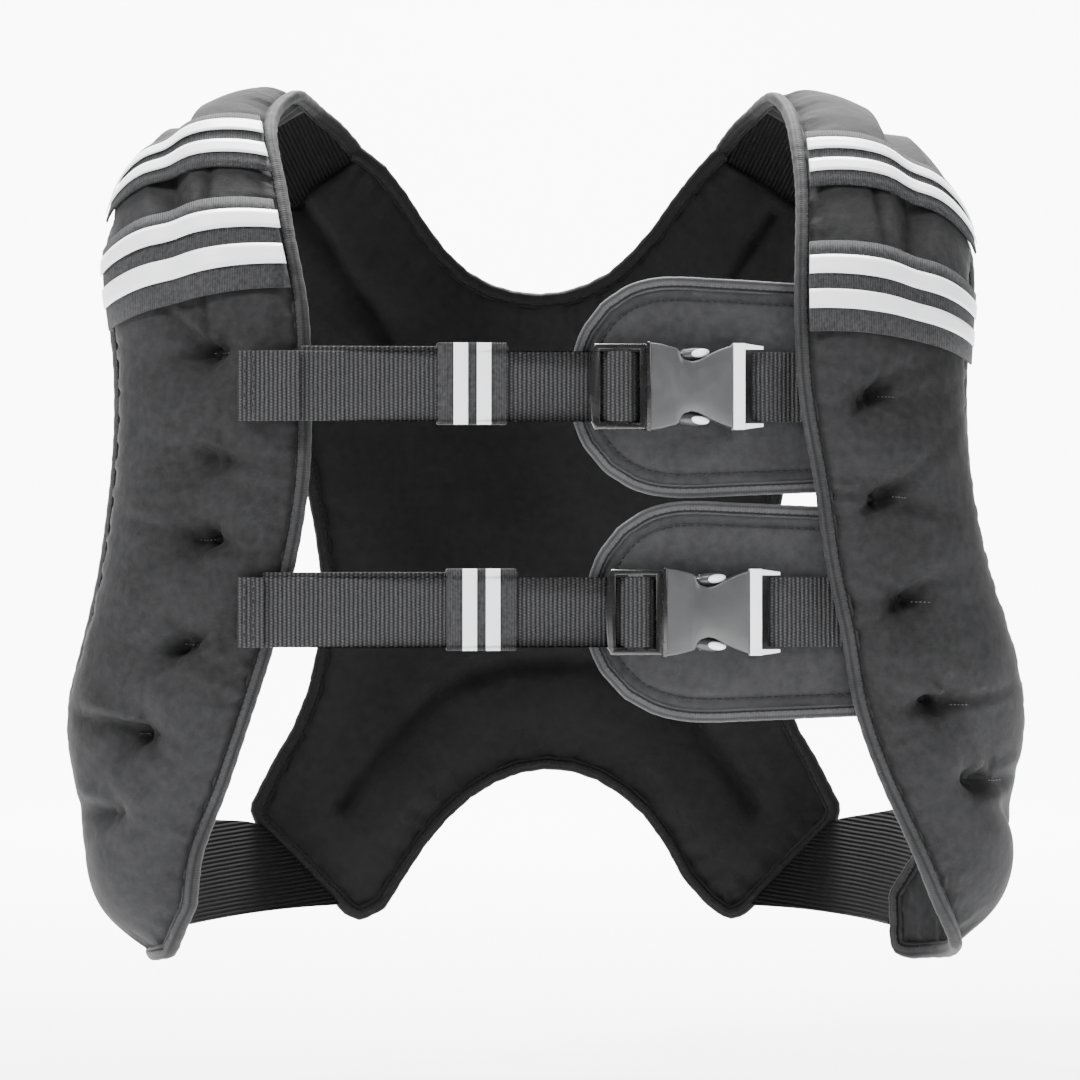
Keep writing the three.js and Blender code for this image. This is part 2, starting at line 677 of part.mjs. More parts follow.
// The side elastic joins the rear outer edge of a front panel to the end of a back lobe
function sideElasticGeometry(panel, side) {
  const grid = [];
  const lobePoint = (t) => {
    const [xShare, zShare] = bottomCurve(side > 0 ? 1 - t : t);
    const point = onBack(xShare, zShare);
    point.x *= side;
    return point;
  };
  const insetAlong = (direction, tangent) => {
    const skew = direction.dot(tangent.normalize());
    return (EDGE_INSET + CLEARANCE) / Math.sqrt(1 - skew * skew);
  };
  for (let i = 0; i <= ELASTIC_CELLS; i += 1) {
    const row = [];
    const down = i / ELASTIC_CELLS;
    const panelRow = mix(SIDE_ELASTIC_ROWS[0], panel.last - SIDE_ELASTIC_ROWS[1], down);
    const lobeShare = mix(SIDE_ELASTIC_LOBE[0], SIDE_ELASTIC_LOBE[1], down);
    const front = panel.outer(panelRow);
    const rear = lobePoint(lobeShare);
    const direction = rear.clone().sub(front).normalize();
    const frontEdge = panel.outer(panelRow + 0.1).sub(panel.outer(panelRow - 0.1));
    const rearEdge = lobePoint(lobeShare + 0.01).sub(lobePoint(lobeShare - 0.01));
    front.addScaledVector(direction, insetAlong(direction, frontEdge));
    rear.addScaledVector(direction, -insetAlong(direction, rearEdge));
    for (let j = 0; j <= ELASTIC_CELLS; j += 1) {
      const t = j / ELASTIC_CELLS;
      const point = front.clone().lerp(rear, t);
      const outwards = vector(point.x, point.y, 0).normalize();
      row.push(point.addScaledVector(outwards, SIDE_ELASTIC_BULGE * 4 * t * (1 - t)));
    }
    grid.push(row);
  }
  return sheet(grid, ELASTIC_THICKNESS);
}

// The binding of a front panel starts at the neck side of the back, follows the shoulder
// elastic, the inner edge, the hem and the outer edge, and ends at the armhole side
function frontBindingGeometry(panel, side) {
  const neck = shoulderLine(panel, 0, side);
  const armhole = shoulderLine(panel, 1, side);
  const points = [];
  const stop = 1 - BINDING_JOINT / neck.reach;
  for (const t of [stop, 0.75, 0.5, 0.25]) points.push(shoulderPoint(neck, t));
  for (let row = 0; row < panel.last - 0.4; row += 0.5) points.push(panel.inner(row));
  points.push(panel.inner(panel.last - 0.3));
  for (const across of [0.1, 0.3, 0.5, 0.7, 0.9]) {
    const hem = panel.middle(panel.last, across);
    const out = hem.clone().sub(panel.middle(panel.last - 0.2, across)).normalize();
    points.push(hem.addScaledVector(out, EDGE_INSET + BINDING_SEAT));
  }
  points.push(panel.outer(panel.last - 0.3));
  for (let row = panel.last - 0.5; row >= 0; row -= 0.5) points.push(panel.outer(row));
  for (const t of [0.25, 0.5, 0.75, stop]) points.push(shoulderPoint(armhole, t));
  return edgeTube(points, BINDING_RADIUS, BINDING_STEP);
}

function neckBindingGeometry() {
  const points = [];
  const ends = BINDING_JOINT / (1.3 * HALF_WIDTH);
  for (let k = 0; k <= 24; k += 1) points.push(onBack(...neckCurve(mix(ends, 1 - ends, k / 24))));
  return edgeTube(points, BINDING_RADIUS, BINDING_STEP);
}

function backBindingGeometry() {
  const half = (sign) => {
    const points = [];
    for (let k = 0; k <= 14; k += 1) {
      points.push(onBack(...backSide(mix(BINDING_JOINT / DROP, 0.985, k / 14), sign)));
    }
    return points;
  };
  const bottom = [];
  for (let k = 0; k <= 32; k += 1) bottom.push(onBack(...bottomCurve(mix(0.008, 0.992, k / 32))));
  const points = [...half(-1), ...bottom, ...half(1).reverse()];
  return edgeTube(points, BINDING_RADIUS, BINDING_STEP);
}

addMesh("right_shoulder_elastic", shoulderElasticGeometry(rightPanel, 1), ELASTIC);
addMesh("left_shoulder_elastic", mirrored(shoulderElasticGeometry(leftPanel, -1)), ELASTIC);
addMesh("right_side_elastic", sideElasticGeometry(rightPanel, 1), ELASTIC);
addMesh("left_side_elastic", mirrored(sideElasticGeometry(leftPanel, -1)), ELASTIC);
addMesh("right_front_binding", frontBindingGeometry(rightPanel, 1), BINDING);
addMesh("left_front_binding", mirrored(frontBindingGeometry(leftPanel, -1)), BINDING);
addMesh("back_neck_binding", neckBindingGeometry(), BACK_BINDING);
addMesh("back_outer_binding", backBindingGeometry(), BACK_BINDING);

// A reflective band lies over both chambers of a shoulder and bridges most of the seam
function bandLift(panel, row, across) {
  const round = panel.fill(row, across);
  return EDGE_THICKNESS / 2 + BAND_LIFT + FRONT_PAD * round * (1 - BAND_DIP * panel.seam(row, across));
}

function bandGeometry(panel, [from, to, slant], share, lift, thickness, rows) {
  const face = [];
  const rear = [];
  for (let i = 0; i <= rows; i += 1) {
    const faceRow = [];
    const rearRow = [];
    const down = mix(share[0], share[1], i / rows);
    for (let j = 0; j <= BAND_CELLS; j += 1) {
      const along = j / BAND_CELLS;
      const row = mix(from, to, down) + slant * along;
      const across = mix(BAND_ACROSS[0], BAND_ACROSS[1], evenToEdges(along));
      const middle = panel.middle(row, across);
      const out = panel.normal(row, across);
      const height = bandLift(panel, row, across) + lift;
      rearRow.push(middle.clone().addScaledVector(out, height));
      faceRow.push(middle.clone().addScaledVector(out, height + thickness));
    }
    face.push(faceRow);
    rear.push(rearRow);
  }
  return slab(face, rear);
}

function addBands(side, panel, bands) {
  const turn = side === "left" ? mirrored : (geometry) => geometry;
  for (const [name, band] of Object.entries(bands)) {
    const geometry = bandGeometry(panel, band, [0, 1], 0, BAND_THICKNESS, BAND_ROWS);
    addMesh(`${side}_${name}_band`, turn(geometry), BAND);
    BAND_STRIPES.forEach((share, k) => {
      const lift = BAND_THICKNESS + CLEARANCE;
      const stripe = bandGeometry(panel, band, share, lift, STRIPE_THICKNESS, 1);
      addMesh(`${side}_${name}_band_stripe_${k + 1}`, turn(stripe), REFLECTIVE);
    });
  }
}

addBands("left", leftPanel, LEFT_BANDS);
addBands("right", rightPanel, RIGHT_BANDS);

// Webbing: a flat ribbon that stands on edge, along points in plan
function ribbon(plan, thickness, bottom, top) {
  const grid = [top, bottom].map((z) => plan.map(([x, y]) => vector(x, y, z)));
  return sheet(grid, thickness);
}

// An outline in X and Z, extruded along Y about a middle plane
function plate(shape, thickness, y) {
  const bevel = Math.min(0.5, thickness / 6);
  const geometry = new THREE.ExtrudeGeometry(shape, {
    depth: thickness - 2 * bevel,
    bevelThickness: bevel,
    bevelSize: bevel,
    bevelOffset: -bevel,
    bevelSegments: 1,
    curveSegments: 5,
  });
  geometry.rotateX(Math.PI / 2);
  geometry.translate(0, y + thickness / 2 - bevel, 0);
  return geometry;
}

function rectangle(left, bottom, right, top) {
  const shape = new THREE.Shape();
  shape.moveTo(left, bottom);
  shape.lineTo(right, bottom);
  shape.lineTo(right, top);
  shape.lineTo(left, top);
  return shape;
}

// A closed geometry as a solid that others can be cut from
function solid(geometry) {
  const bare = geometry.clone();
  bare.deleteAttribute("normal");
  bare.deleteAttribute("uv");
  const merged = mergeVertices(bare, 1e-3);
  return new solids.Manifold(new solids.Mesh({
    numProp: 3,
    vertProperties: merged.attributes.position.array,
    triVerts: new Uint32Array(merged.index.array),
  }));
}

function cut(geometry, tools) {
  const left = tools.reduce((whole, tool) => whole.subtract(solid(tool)), solid(geometry));
  const mesh = left.getMesh();
  const made = new THREE.BufferGeometry();
  made.setAttribute("position", new THREE.Float32BufferAttribute(mesh.vertProperties, 3));
  made.setIndex(Array.from(mesh.triVerts));
  made.computeVertexNormals();
  return made;
}

// The chest straps leave the left panel over its inner edge and run, leaning back a
// little, to where they pass under the inner edge of the right panel
function edgeAt(panel, z) {
  let low = 3;
  let high = panel.last;
  for (let k = 0; k < 30; k += 1) {
    const row = (low + high) / 2;
    if (panel.inner(row).z > z) low = row;
    else high = row;
  }
  return panel.inner(low);
}

const LAYER = WEBBING_THICKNESS + CLEARANCE;
const LINING_REST = CLEARANCE * 2 + WEBBING_THICKNESS / 2;

function strapHeights(z) {
  return [-0.5, -0.3, -0.1, 0.1, 0.3, 0.5, 0.6].map((share) => z + share * WEBBING_WIDTH);
}

// Middle of a ribbon that lies on the left panel, at a distance from the centre line
function restOnPanel(x, z) {
  const depths = strapHeights(z).flatMap((height) => [x - 4, x, x + 4].map((near) => {
    const place = leftPanel.locate(near, height, "face");
    return leftPanel.face(place.row, place.across).y;
  }));
  return Math.min(...depths) - LINING_REST;
}

// How far back the lining and the bound edge of the right panel reach at some heights
function behindPanel(x, heights) {
  const depths = heights.map((height) => {
    const edge = edgeAt(rightPanel, height);
    const bound = edge.y + BINDING_RADIUS;
    if (x < edge.x + EDGE_INSET) return bound;
    const place = rightPanel.locate(x, height, "lining");
    return Math.max(bound, rightPanel.lining(place.row, place.across).y);
  });
  return Math.max(...depths);
}

class StrapLine {
  constructor(z) {
    this.z = z;
    const heights = strapHeights(z);
    const edges = heights.map((height) => edgeAt(leftPanel, height));
    const leftX = Math.max(...edges.map((edge) => edge.x));
    const nearX = Math.min(...edges.map((edge) => edge.x));
    const overBinding = Math.min(...edges.map((edge) => edge.y)) - BINDING_RADIUS - LINING_REST;
    const overPad = Math.min(...[leftX, nearX, nearX + 4].map((x) => restOnPanel(x, z)));
    this.rightX = Math.min(...heights.map((height) => edgeAt(rightPanel, height).x));
    this.underX = this.rightX + FLAP_UNDER_PANEL;
    this.edgeY = behindPanel(this.rightX, heights) + LINING_REST;
    this.underY = Math.max(this.edgeY, behindPanel(this.underX, heights) + LINING_REST);
    this.start = [-leftX, Math.min(overBinding, overPad) - LAYER - CLEARANCE];
    this.bendX = this.rightX - BINDING_RADIUS - 2;
    this.slope = (this.edgeY - this.start[1]) / (this.bendX - this.start[0]);
    this.angle = Math.atan(this.slope);
  }

  // A place given by its X and by how far it lies behind the strap's middle surface
  at(x, behind = 0) {
    const y = this.start[1] + (x - this.start[0]) * this.slope;
    return [x - behind * Math.sin(this.angle), y + behind * Math.cos(this.angle)];
  }

  // Middle of the webbing on the way under the right panel
  webY(x) {
    if (x < this.bendX) return this.at(x)[1];
    return mix(this.edgeY, this.underY, clamp((x - this.rightX) / FLAP_UNDER_PANEL, 0, 1));
  }

  // Turns a piece built along X at Y 0 onto the strap
  lean(geometry) {
    geometry.rotateZ(this.angle);
    geometry.translate(0, this.at(0)[1], this.z);
    return geometry;
  }
}

function keeperRing(line, x) {
  const front = -WEBBING_THICKNESS / 2 - CLEARANCE * 2;
  const rear = LAYER + WEBBING_THICKNESS / 2 + CLEARANCE * 2;
  const bottom = -WEBBING_WIDTH / 2 - CLEARANCE;
  const top = WEBBING_WIDTH / 2 + TAIL_RAISE + CLEARANCE;
  const ring = rectangle(front - KEEPER_WALL, bottom - KEEPER_WALL, rear + KEEPER_WALL, top + KEEPER_WALL);
  ring.holes.push(rectangle(front, bottom, rear, top));
  const geometry = new THREE.ExtrudeGeometry(ring, { depth: KEEPER_LENGTH, bevelEnabled: false });
  geometry.applyMatrix4(new THREE.Matrix4().set(0, 0, 1, 0, 1, 0, 0, 0, 0, 1, 0, 0, 0, 0, 0, 1));
  geometry.translate(x, 0, 0);
  return line.lean(geometry);
}

function keeperStripe(line, x) {
  const half = KEEPER_STRIPE_WIDTH / 2;
  const bottom = -WEBBING_WIDTH / 2 - CLEARANCE - KEEPER_WALL;
  const top = WEBBING_WIDTH / 2 + TAIL_RAISE + CLEARANCE + KEEPER_WALL;
  const front = -WEBBING_THICKNESS / 2 - CLEARANCE * 3 - KEEPER_WALL - STRIPE_THICKNESS / 2;
  return line.lean(plate(rectangle(x - half, bottom, x + half, top), STRIPE_THICKNESS, front));
}

// The plug: a ladder frame that the strap threads through, and two prongs in the socket
const PLUG_BEHIND = -(PLUG_THICKNESS + WEBBING_THICKNESS) / 2 - CLEARANCE;
const SOCKET_BEHIND = PLUG_BEHIND - SOCKET_RISE;
const HOOK_BEHIND = -(HOOK_THICKNESS + WEBBING_THICKNESS) / 2 - CLEARANCE;

function plugGeometry(line, x) {
  const half = BUCKLE_HEIGHT / 2;
  const inner = WEBBING_WIDTH / 2 + BUCKLE_SIDE_ROOM;
  const end = x + PLUG_LENGTH;
  const prong = PRONG_OUTLINE.map(([along, high]) => [end + along * PRONG_LENGTH, high * half]);
  const upperHalf = [...prong.reverse(), [end, half], [x + BUCKLE_CHAMFER, half], [x, half - 2 * BUCKLE_CHAMFER]];
  const lowerHalf = upperHalf.map(([px, pz]) => [px, -pz]).reverse();
  const frame = new THREE.Shape();
  frame.moveTo(x - PLUG_BOW, 0);
  [...lowerHalf, ...upperHalf].forEach(([px, pz]) => frame.lineTo(px, pz));
  const middle = x + PLUG_BAR + PLUG_SLOT;
  const second = middle + PLUG_MIDDLE;
  const slots = [
    rectangle(x + PLUG_BAR, -inner, middle, inner),
    rectangle(second, -inner, second + PLUG_SLOT, inner),
  ].map((slot) => plate(slot, 2 * PLUG_THICKNESS, PLUG_BEHIND));
  return line.lean(cut(plate(frame, PLUG_THICKNESS, PLUG_BEHIND), slots));
}

// The socket: an hourglass body with two notches that show the prongs, a pocket for them,
// and two hooked arms that hold the bar for the webbing
function socketGeometry(line, x) {
  const half = BUCKLE_HEIGHT / 2;
  const body = x + SOCKET_LENGTH;
  const end = body + HOOK_LENGTH;
  const notch = x + NOTCH_START * SOCKET_LENGTH;
  const shelf = notch + NOTCH_LENGTH / 2;
  const waist = half - NOTCH_DEPTH;
  const inner = WEBBING_WIDTH / 2 + BUCKLE_SIDE_ROOM;
  const open = body + HOOK_LENGTH - HOOK_BAR - HOOK_SLOT;
  const shape = new THREE.Shape();
  shape.moveTo(x, -half);
  shape.lineTo(notch, -half);
  shape.quadraticCurveTo(notch, -waist, shelf, -waist);
  shape.quadraticCurveTo(notch + NOTCH_LENGTH, -waist, body - BUCKLE_CHAMFER, -half);
  shape.lineTo(open, -half - HOOK_SPREAD);
  shape.lineTo(end, BUCKLE_CHAMFER - half);
  shape.lineTo(end, half - BUCKLE_CHAMFER);
  shape.lineTo(open, half + HOOK_SPREAD);
  shape.lineTo(body - BUCKLE_CHAMFER, half);
  shape.quadraticCurveTo(notch + NOTCH_LENGTH, waist, shelf, waist);
  shape.quadraticCurveTo(notch, waist, notch, half);
  shape.lineTo(x, half);
  const slot = rectangle(open, -inner, end - HOOK_BAR, inner);
  const mouth = half - POCKET_WALL;
  const hollow = rectangle(x - POCKET_WALL, -mouth, x + PRONG_LENGTH + POCKET_WALL, mouth);
  const beyond = rectangle(open, -2 * half, end + BUCKLE_CHAMFER, 2 * half);
  const step = (SOCKET_THICKNESS + HOOK_THICKNESS) / 2;
  const tools = [
    plate(slot, 2 * SOCKET_THICKNESS, SOCKET_BEHIND),
    plate(hollow, PLUG_THICKNESS + 2 * POCKET_ROOM, PLUG_BEHIND),
    plate(beyond, SOCKET_THICKNESS, HOOK_BEHIND - step),
    plate(beyond, SOCKET_THICKNESS, HOOK_BEHIND + step),
  ];
  return line.lean(cut(plate(shape, SOCKET_THICKNESS, SOCKET_BEHIND), tools));
}

function addStrap(level, z, keeperX, buckleX) {
  const line = new StrapLine(z);
  const bottom = z - WEBBING_WIDTH / 2;
  const top = z + WEBBING_WIDTH / 2;
  const behind = (point, share = 1) => [point[0], point[1] + share * (LAYER + CLEARANCE)];

  const onPanel = (share) => {
    const x = mix(STRAP_START_X, line.start[0] - BINDING_RADIUS, share);
    return [x, mix(restOnPanel(-x, z), line.start[1], share)];
  };
  const [first, lap] = [onPanel(0), onPanel(0.5)];
  const edge = [line.start[0] - BINDING_RADIUS, line.start[1]];

  const slot = buckleX + PLUG_BAR;
  const bar = slot + PLUG_SLOT;
  const second = bar + PLUG_MIDDLE;
  const over = 2 * PLUG_BEHIND;
  const strap = [
    first, lap, edge, line.at(line.start[0] + BINDING_RADIUS), line.at(slot + STRAP_FOLD),
    line.at(bar - STRAP_FOLD, over), line.at(second + STRAP_FOLD, over), line.at(second + PLUG_SLOT - STRAP_FOLD),
  ];
  addMesh(`${level}_strap_left`, ribbon(strap, WEBBING_THICKNESS, bottom, top), WEBBING);

  const folded = line.at(Math.max(STRAP_START_X + TAB_LENGTH, line.start[0]), -LAYER - CLEARANCE);
  const tab = [behind([first[0] - 1, first[1]], -1), behind(lap, -1), behind(edge, -1), folded];
  addMesh(`${level}_strap_tab`, ribbon(tab, WEBBING_THICKNESS, bottom, top), WEBBING);

  const tailEnd = keeperX + KEEPER_LENGTH + TAIL_BEYOND_KEEPER;
  const tail = [line.at(line.start[0], LAYER), line.at(tailEnd, LAYER)];
  const tailBottom = bottom + TAIL_RAISE;
  addMesh(`${level}_strap_tail`, ribbon(tail, WEBBING_THICKNESS, tailBottom, top + TAIL_RAISE), WEBBING);

  addMesh(`${level}_keeper`, keeperRing(line, keeperX), BAND);
  const centre = keeperX + KEEPER_LENGTH / 2;
  addMesh(`${level}_keeper_stripe_1`, keeperStripe(line, centre - KEEPER_STRIPE_SPACING / 2), REFLECTIVE);
  addMesh(`${level}_keeper_stripe_2`, keeperStripe(line, centre + KEEPER_STRIPE_SPACING / 2), REFLECTIVE);

  addMesh(`${level}_buckle_plug`, plugGeometry(line, buckleX), FRAME_PLASTIC);
  const socketX = buckleX + PLUG_LENGTH + CLEARANCE;
  addMesh(`${level}_buckle_socket`, socketGeometry(line, socketX), BODY_PLASTIC);

  const barX = socketX + SOCKET_LENGTH + HOOK_LENGTH - HOOK_BAR / 2;
  const wrap = -HOOK_BEHIND;
  const reach = (HOOK_BAR + WEBBING_THICKNESS) / 2 + CLEARANCE * 3;
  const webbing = [
    line.at(barX + 2, 0), line.at(barX - HOOK_FOLD, 0),
    line.at(barX - reach, -wrap / 2), line.at(barX - reach, -1.5 * wrap),
    line.at(barX - HOOK_FOLD, -2 * wrap), line.at(barX + 3, -2 * wrap),
    line.at(line.bendX), [line.rightX, line.edgeY], [line.underX, line.underY],
  ];
  addMesh(`${level}_strap_right`, ribbon(webbing, WEBBING_THICKNESS, bottom, top), WEBBING);
  return line;
}

// A padded flap with a round end lies behind each buckle and is sewn under the edge of
// the right panel
function addFlap(level, line, leftX) {
  const depth = WEBBING_THICKNESS / 2 + CLEARANCE * 2 + FLAP_THICKNESS / 2;
  const outline = (t, side) => {
    const round = clamp(t / FLAP_ROUND, 0, 1);
    const rise = (1 - (1 - round) ** FLAP_SQUARENESS) ** (1 / FLAP_SQUARENESS);
    return side * FLAP_HALF_HEIGHT * rise * (1 - FLAP_TAPER * Math.max(0, t - FLAP_ROUND));
  };
  const place = (t, height) => {
    const z = line.z + height;
    const edge = edgeAt(rightPanel, z);
    const x = mix(leftX, edge.x + FLAP_UNDER_PANEL, t);
    const flat = line.webY(Math.min(x, line.underX)) + depth;
    const rest = behindPanel(x, [z - 2, z, z + 2]) + CLEARANCE * 2 + FLAP_THICKNESS / 2;
    const near = smooth(x, edge.x - FLAP_EASE, edge.x - BINDING_RADIUS - 1);
    return vector(x, mix(flat, Math.max(flat, rest), near), z);
  };
  const inset = FLAP_BINDING_RADIUS + CLEARANCE * 2;
  const insetShare = inset / (edgeAt(rightPanel, line.z).x - leftX);
  const face = [];
  const rear = [];
  for (let i = 0; i <= FLAP_ROWS; i += 1) {
    const faceRow = [];
    const rearRow = [];
    const high = 1 - (2 * i) / FLAP_ROWS;
    for (let j = 0; j <= FLAP_CELLS; j += 1) {
      const even = j / FLAP_CELLS;
      const t = mix(insetShare + 0.02, 1, even ** FLAP_CELL_SPREAD);
      const height = high * (outline(t - insetShare, 1) - inset);
      const point = place(t, height);
      const edge = Math.min(1, FLAP_EDGE_SLOPE * Math.min(1 - Math.abs(high), even + FLAP_TIP_EDGE));
      const half = mix(FLAP_EDGE_THICKNESS, FLAP_THICKNESS, Math.sqrt(edge)) / 2;
      faceRow.push(point.clone().add(vector(0, -half, 0)));
      rearRow.push(point.clone().add(vector(0, half, 0)));
    }
    face.push(faceRow);
    rear.push(rearRow);
  }
  addMesh(`${level}_flap`, slab(face, rear), FLAP);
  const points = [];
  const steps = [1, 0.85, 0.7, 0.55, 0.42, 0.3, 0.2, 0.12, 0.06, 0.02];
  steps.forEach((t) => points.push(place(t, outline(t, 1))));
  points.push(place(0, 0));
  [...steps].reverse().forEach((t) => points.push(place(t, outline(t, -1))));
  addMesh(`${level}_flap_binding`, edgeTube(points, FLAP_BINDING_RADIUS, FLAP_STEP), FLAP_BINDING);
}

const upperLine = addStrap("upper", UPPER_STRAP_Z, UPPER_KEEPER_X, UPPER_BUCKLE_X);
const lowerLine = addStrap("lower", LOWER_STRAP_Z, LOWER_KEEPER_X, LOWER_BUCKLE_X);
addFlap("upper", upperLine, UPPER_FLAP_X);
addFlap("lower", lowerLine, LOWER_FLAP_X);

export default group;
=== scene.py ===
# A weighted vest in its worn form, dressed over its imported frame.
# Metres, +Z up, -Y the front, left and right as seen from the front.
import math
import random

import bmesh
import bpy
import numpy as np
from mathutils import Matrix, Vector
from mathutils.bvhtree import BVHTree
from mathutils.kdtree import KDTree


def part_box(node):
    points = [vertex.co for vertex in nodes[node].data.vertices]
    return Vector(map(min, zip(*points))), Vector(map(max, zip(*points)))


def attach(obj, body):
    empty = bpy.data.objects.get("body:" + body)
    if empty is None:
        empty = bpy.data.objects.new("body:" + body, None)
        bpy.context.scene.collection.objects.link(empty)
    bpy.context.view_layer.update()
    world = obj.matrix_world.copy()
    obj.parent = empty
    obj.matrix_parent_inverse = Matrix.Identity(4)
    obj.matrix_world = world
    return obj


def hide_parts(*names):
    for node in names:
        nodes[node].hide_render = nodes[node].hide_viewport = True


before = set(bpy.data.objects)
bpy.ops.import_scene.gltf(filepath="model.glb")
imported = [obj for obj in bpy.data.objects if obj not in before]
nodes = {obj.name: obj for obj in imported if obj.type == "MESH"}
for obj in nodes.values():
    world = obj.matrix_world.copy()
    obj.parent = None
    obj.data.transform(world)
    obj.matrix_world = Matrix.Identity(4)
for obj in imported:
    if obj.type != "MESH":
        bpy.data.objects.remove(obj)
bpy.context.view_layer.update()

print("frame:", len(nodes), "nodes")

# ---- camera, lights and floor
view = {
    "place": (-0.0026, -2.0, -0.197),
    "reach": 1.9,        # from the camera to the front of the chest
    "pixel": 0.00043,    # one of the photograph's 1080 pixels, at that reach
    "middle": 540,
    "floor": -0.452,
    "floorColour": (0.9, 0.9, 0.9),
}
lights = {
    "key": {"place": (-1.35, -1.25, 1.5), "aim": (0, 0, -0.12), "size": 0.6, "power": 72},
    "fill": {"place": (2.0, -1.6, 0.6), "aim": (0, 0, -0.19), "size": 0.9, "power": 24},
    "top": {"place": (0.0, -1.0, 1.3), "aim": (0, 0, -0.1), "size": 0.6, "power": 12},
    "wall": {"place": (0, 1.5, 2.6), "aim": (0, 4, 0), "size": 1.6, "power": 900},
    "ground": {"place": (0, 1.0, 2.4), "aim": (0, 1.6, -0.45), "size": 1.6, "power": 300},
}

cameraData = bpy.data.cameras.new("camera")
cameraData.sensor_width = 36
cameraData.lens = cameraData.sensor_width * view["reach"] / (2 * view["middle"] * view["pixel"])
camera = bpy.data.objects.new("camera", cameraData)
camera.location = view["place"]
camera.rotation_euler = (math.pi / 2, 0, 0)
bpy.context.collection.objects.link(camera)
bpy.context.scene.camera = camera

for name, light in lights.items():
    data = bpy.data.lights.new(name, "AREA")
    data.size = light["size"]
    data.energy = light["power"]
    lamp = bpy.data.objects.new(name, data)
    lamp.location = light["place"]
    lamp.rotation_euler = (Vector(light["aim"]) - lamp.location).to_track_quat("-Z", "Y").to_euler()
    bpy.context.collection.objects.link(lamp)

world = bpy.data.worlds.new("studio")
world.use_nodes = True
world.node_tree.nodes["Background"].inputs["Color"].default_value = (1, 1, 1, 1)
world.node_tree.nodes["Background"].inputs["Strength"].default_value = 0.2
bpy.context.scene.world = world
print("camera and lights")


# ---- small tools
def activate(piece):
    bpy.ops.object.select_all(action="DESELECT")
    piece.select_set(True)
    bpy.context.view_layer.objects.active = piece


def newPiece(name, vertices, faces):
    mesh = bpy.data.meshes.new(name)
    mesh.from_pydata([tuple(v) for v in vertices], [], faces)
    piece = bpy.data.objects.new(name, mesh)
    bpy.context.collection.objects.link(piece)
    return piece


def nodeMesh(node):
    shape = bmesh.new()
    shape.from_mesh(nodes[node].data)
    bmesh.ops.remove_doubles(shape, verts=shape.verts, dist=1e-5)
    return shape


def quadCopy(node, name, sharpest=55):
    # a merged copy in quads, whose sharp edges stay put when it is subdivided
    shape = nodeMesh(node)
    bmesh.ops.join_triangles(
        shape, faces=shape.faces, angle_face_threshold=math.radians(50), angle_shape_threshold=math.radians(70)
    )
    held = shape.edges.layers.float.new("crease_edge")
    for edge in shape.edges:
        if len(edge.link_faces) == 2 and edge.calc_face_angle() > math.radians(sharpest):
            edge[held] = 1.0
    mesh = bpy.data.meshes.new(name)
    shape.to_mesh(mesh)
    shape.free()
    piece = bpy.data.objects.new(name, mesh)
    bpy.context.collection.objects.link(piece)
    return piece


def applyModifier(piece, kind, **settings):
    activate(piece)
    modifier = piece.modifiers.new(kind.lower(), kind)
    for key, value in settings.items():
        setattr(modifier, key, value)
    bpy.ops.object.modifier_apply(modifier=modifier.name)


def subdivide(piece, levels):
    applyModifier(piece, "SUBSURF", levels=levels, render_levels=levels)


def roundEdges(piece, width, segments=3, angle=25):
    applyModifier(piece, "BEVEL", width=width, segments=segments, limit_method="ANGLE",
                  angle_limit=math.radians(angle), harden_normals=False)


def smoothShade(piece, angle=60):
    activate(piece)
    bpy.ops.object.shade_smooth_by_angle(angle=math.radians(angle))


def points(piece):
    flat = np.empty(len(piece.data.vertices) * 3)
    piece.data.vertices.foreach_get("co", flat)
    return flat.reshape(-1, 3)


def normals(piece):
    flat = np.empty(len(piece.data.vertices) * 3)
    piece.data.vertices.foreach_get("normal", flat)
    return flat.reshape(-1, 3)


def movePoints(piece, places):
    piece.data.vertices.foreach_set("co", places.ravel())
    piece.data.update()


def addAttribute(piece, name, values):
    attribute = piece.data.attributes.new(name, "FLOAT", "POINT")
    attribute.data.foreach_set("value", np.asarray(values, dtype=np.float32))


def surfaceOf(names):
    places, faces = [], []
    for name in names:
        mesh = nodes[name].data if name in nodes else bpy.data.objects[name].data
        start = len(places)
        places += [v.co.copy() for v in mesh.vertices]
        faces += [[start + k for k in face.vertices] for face in mesh.polygons]
    return BVHTree.FromPolygons(places, faces)


def seenPoint(px, py, surface):
    # the place on a surface that a pixel of the photograph shows
    eye = Vector(view["place"])
    step = Vector(((px - view["middle"]) * view["pixel"], view["reach"], (view["middle"] - py) * view["pixel"]))
    place, normal, _, _ = surface.ray_cast(eye, step.normalized())
    if place is None:
        place, normal, _, _ = surface.find_nearest(eye + step)
    return place, normal


def finish(piece, node, material):
    piece.data.materials.clear()
    piece.data.materials.append(material)
    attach(piece, "root")
    if node:
        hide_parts(*([node] if isinstance(node, str) else node))


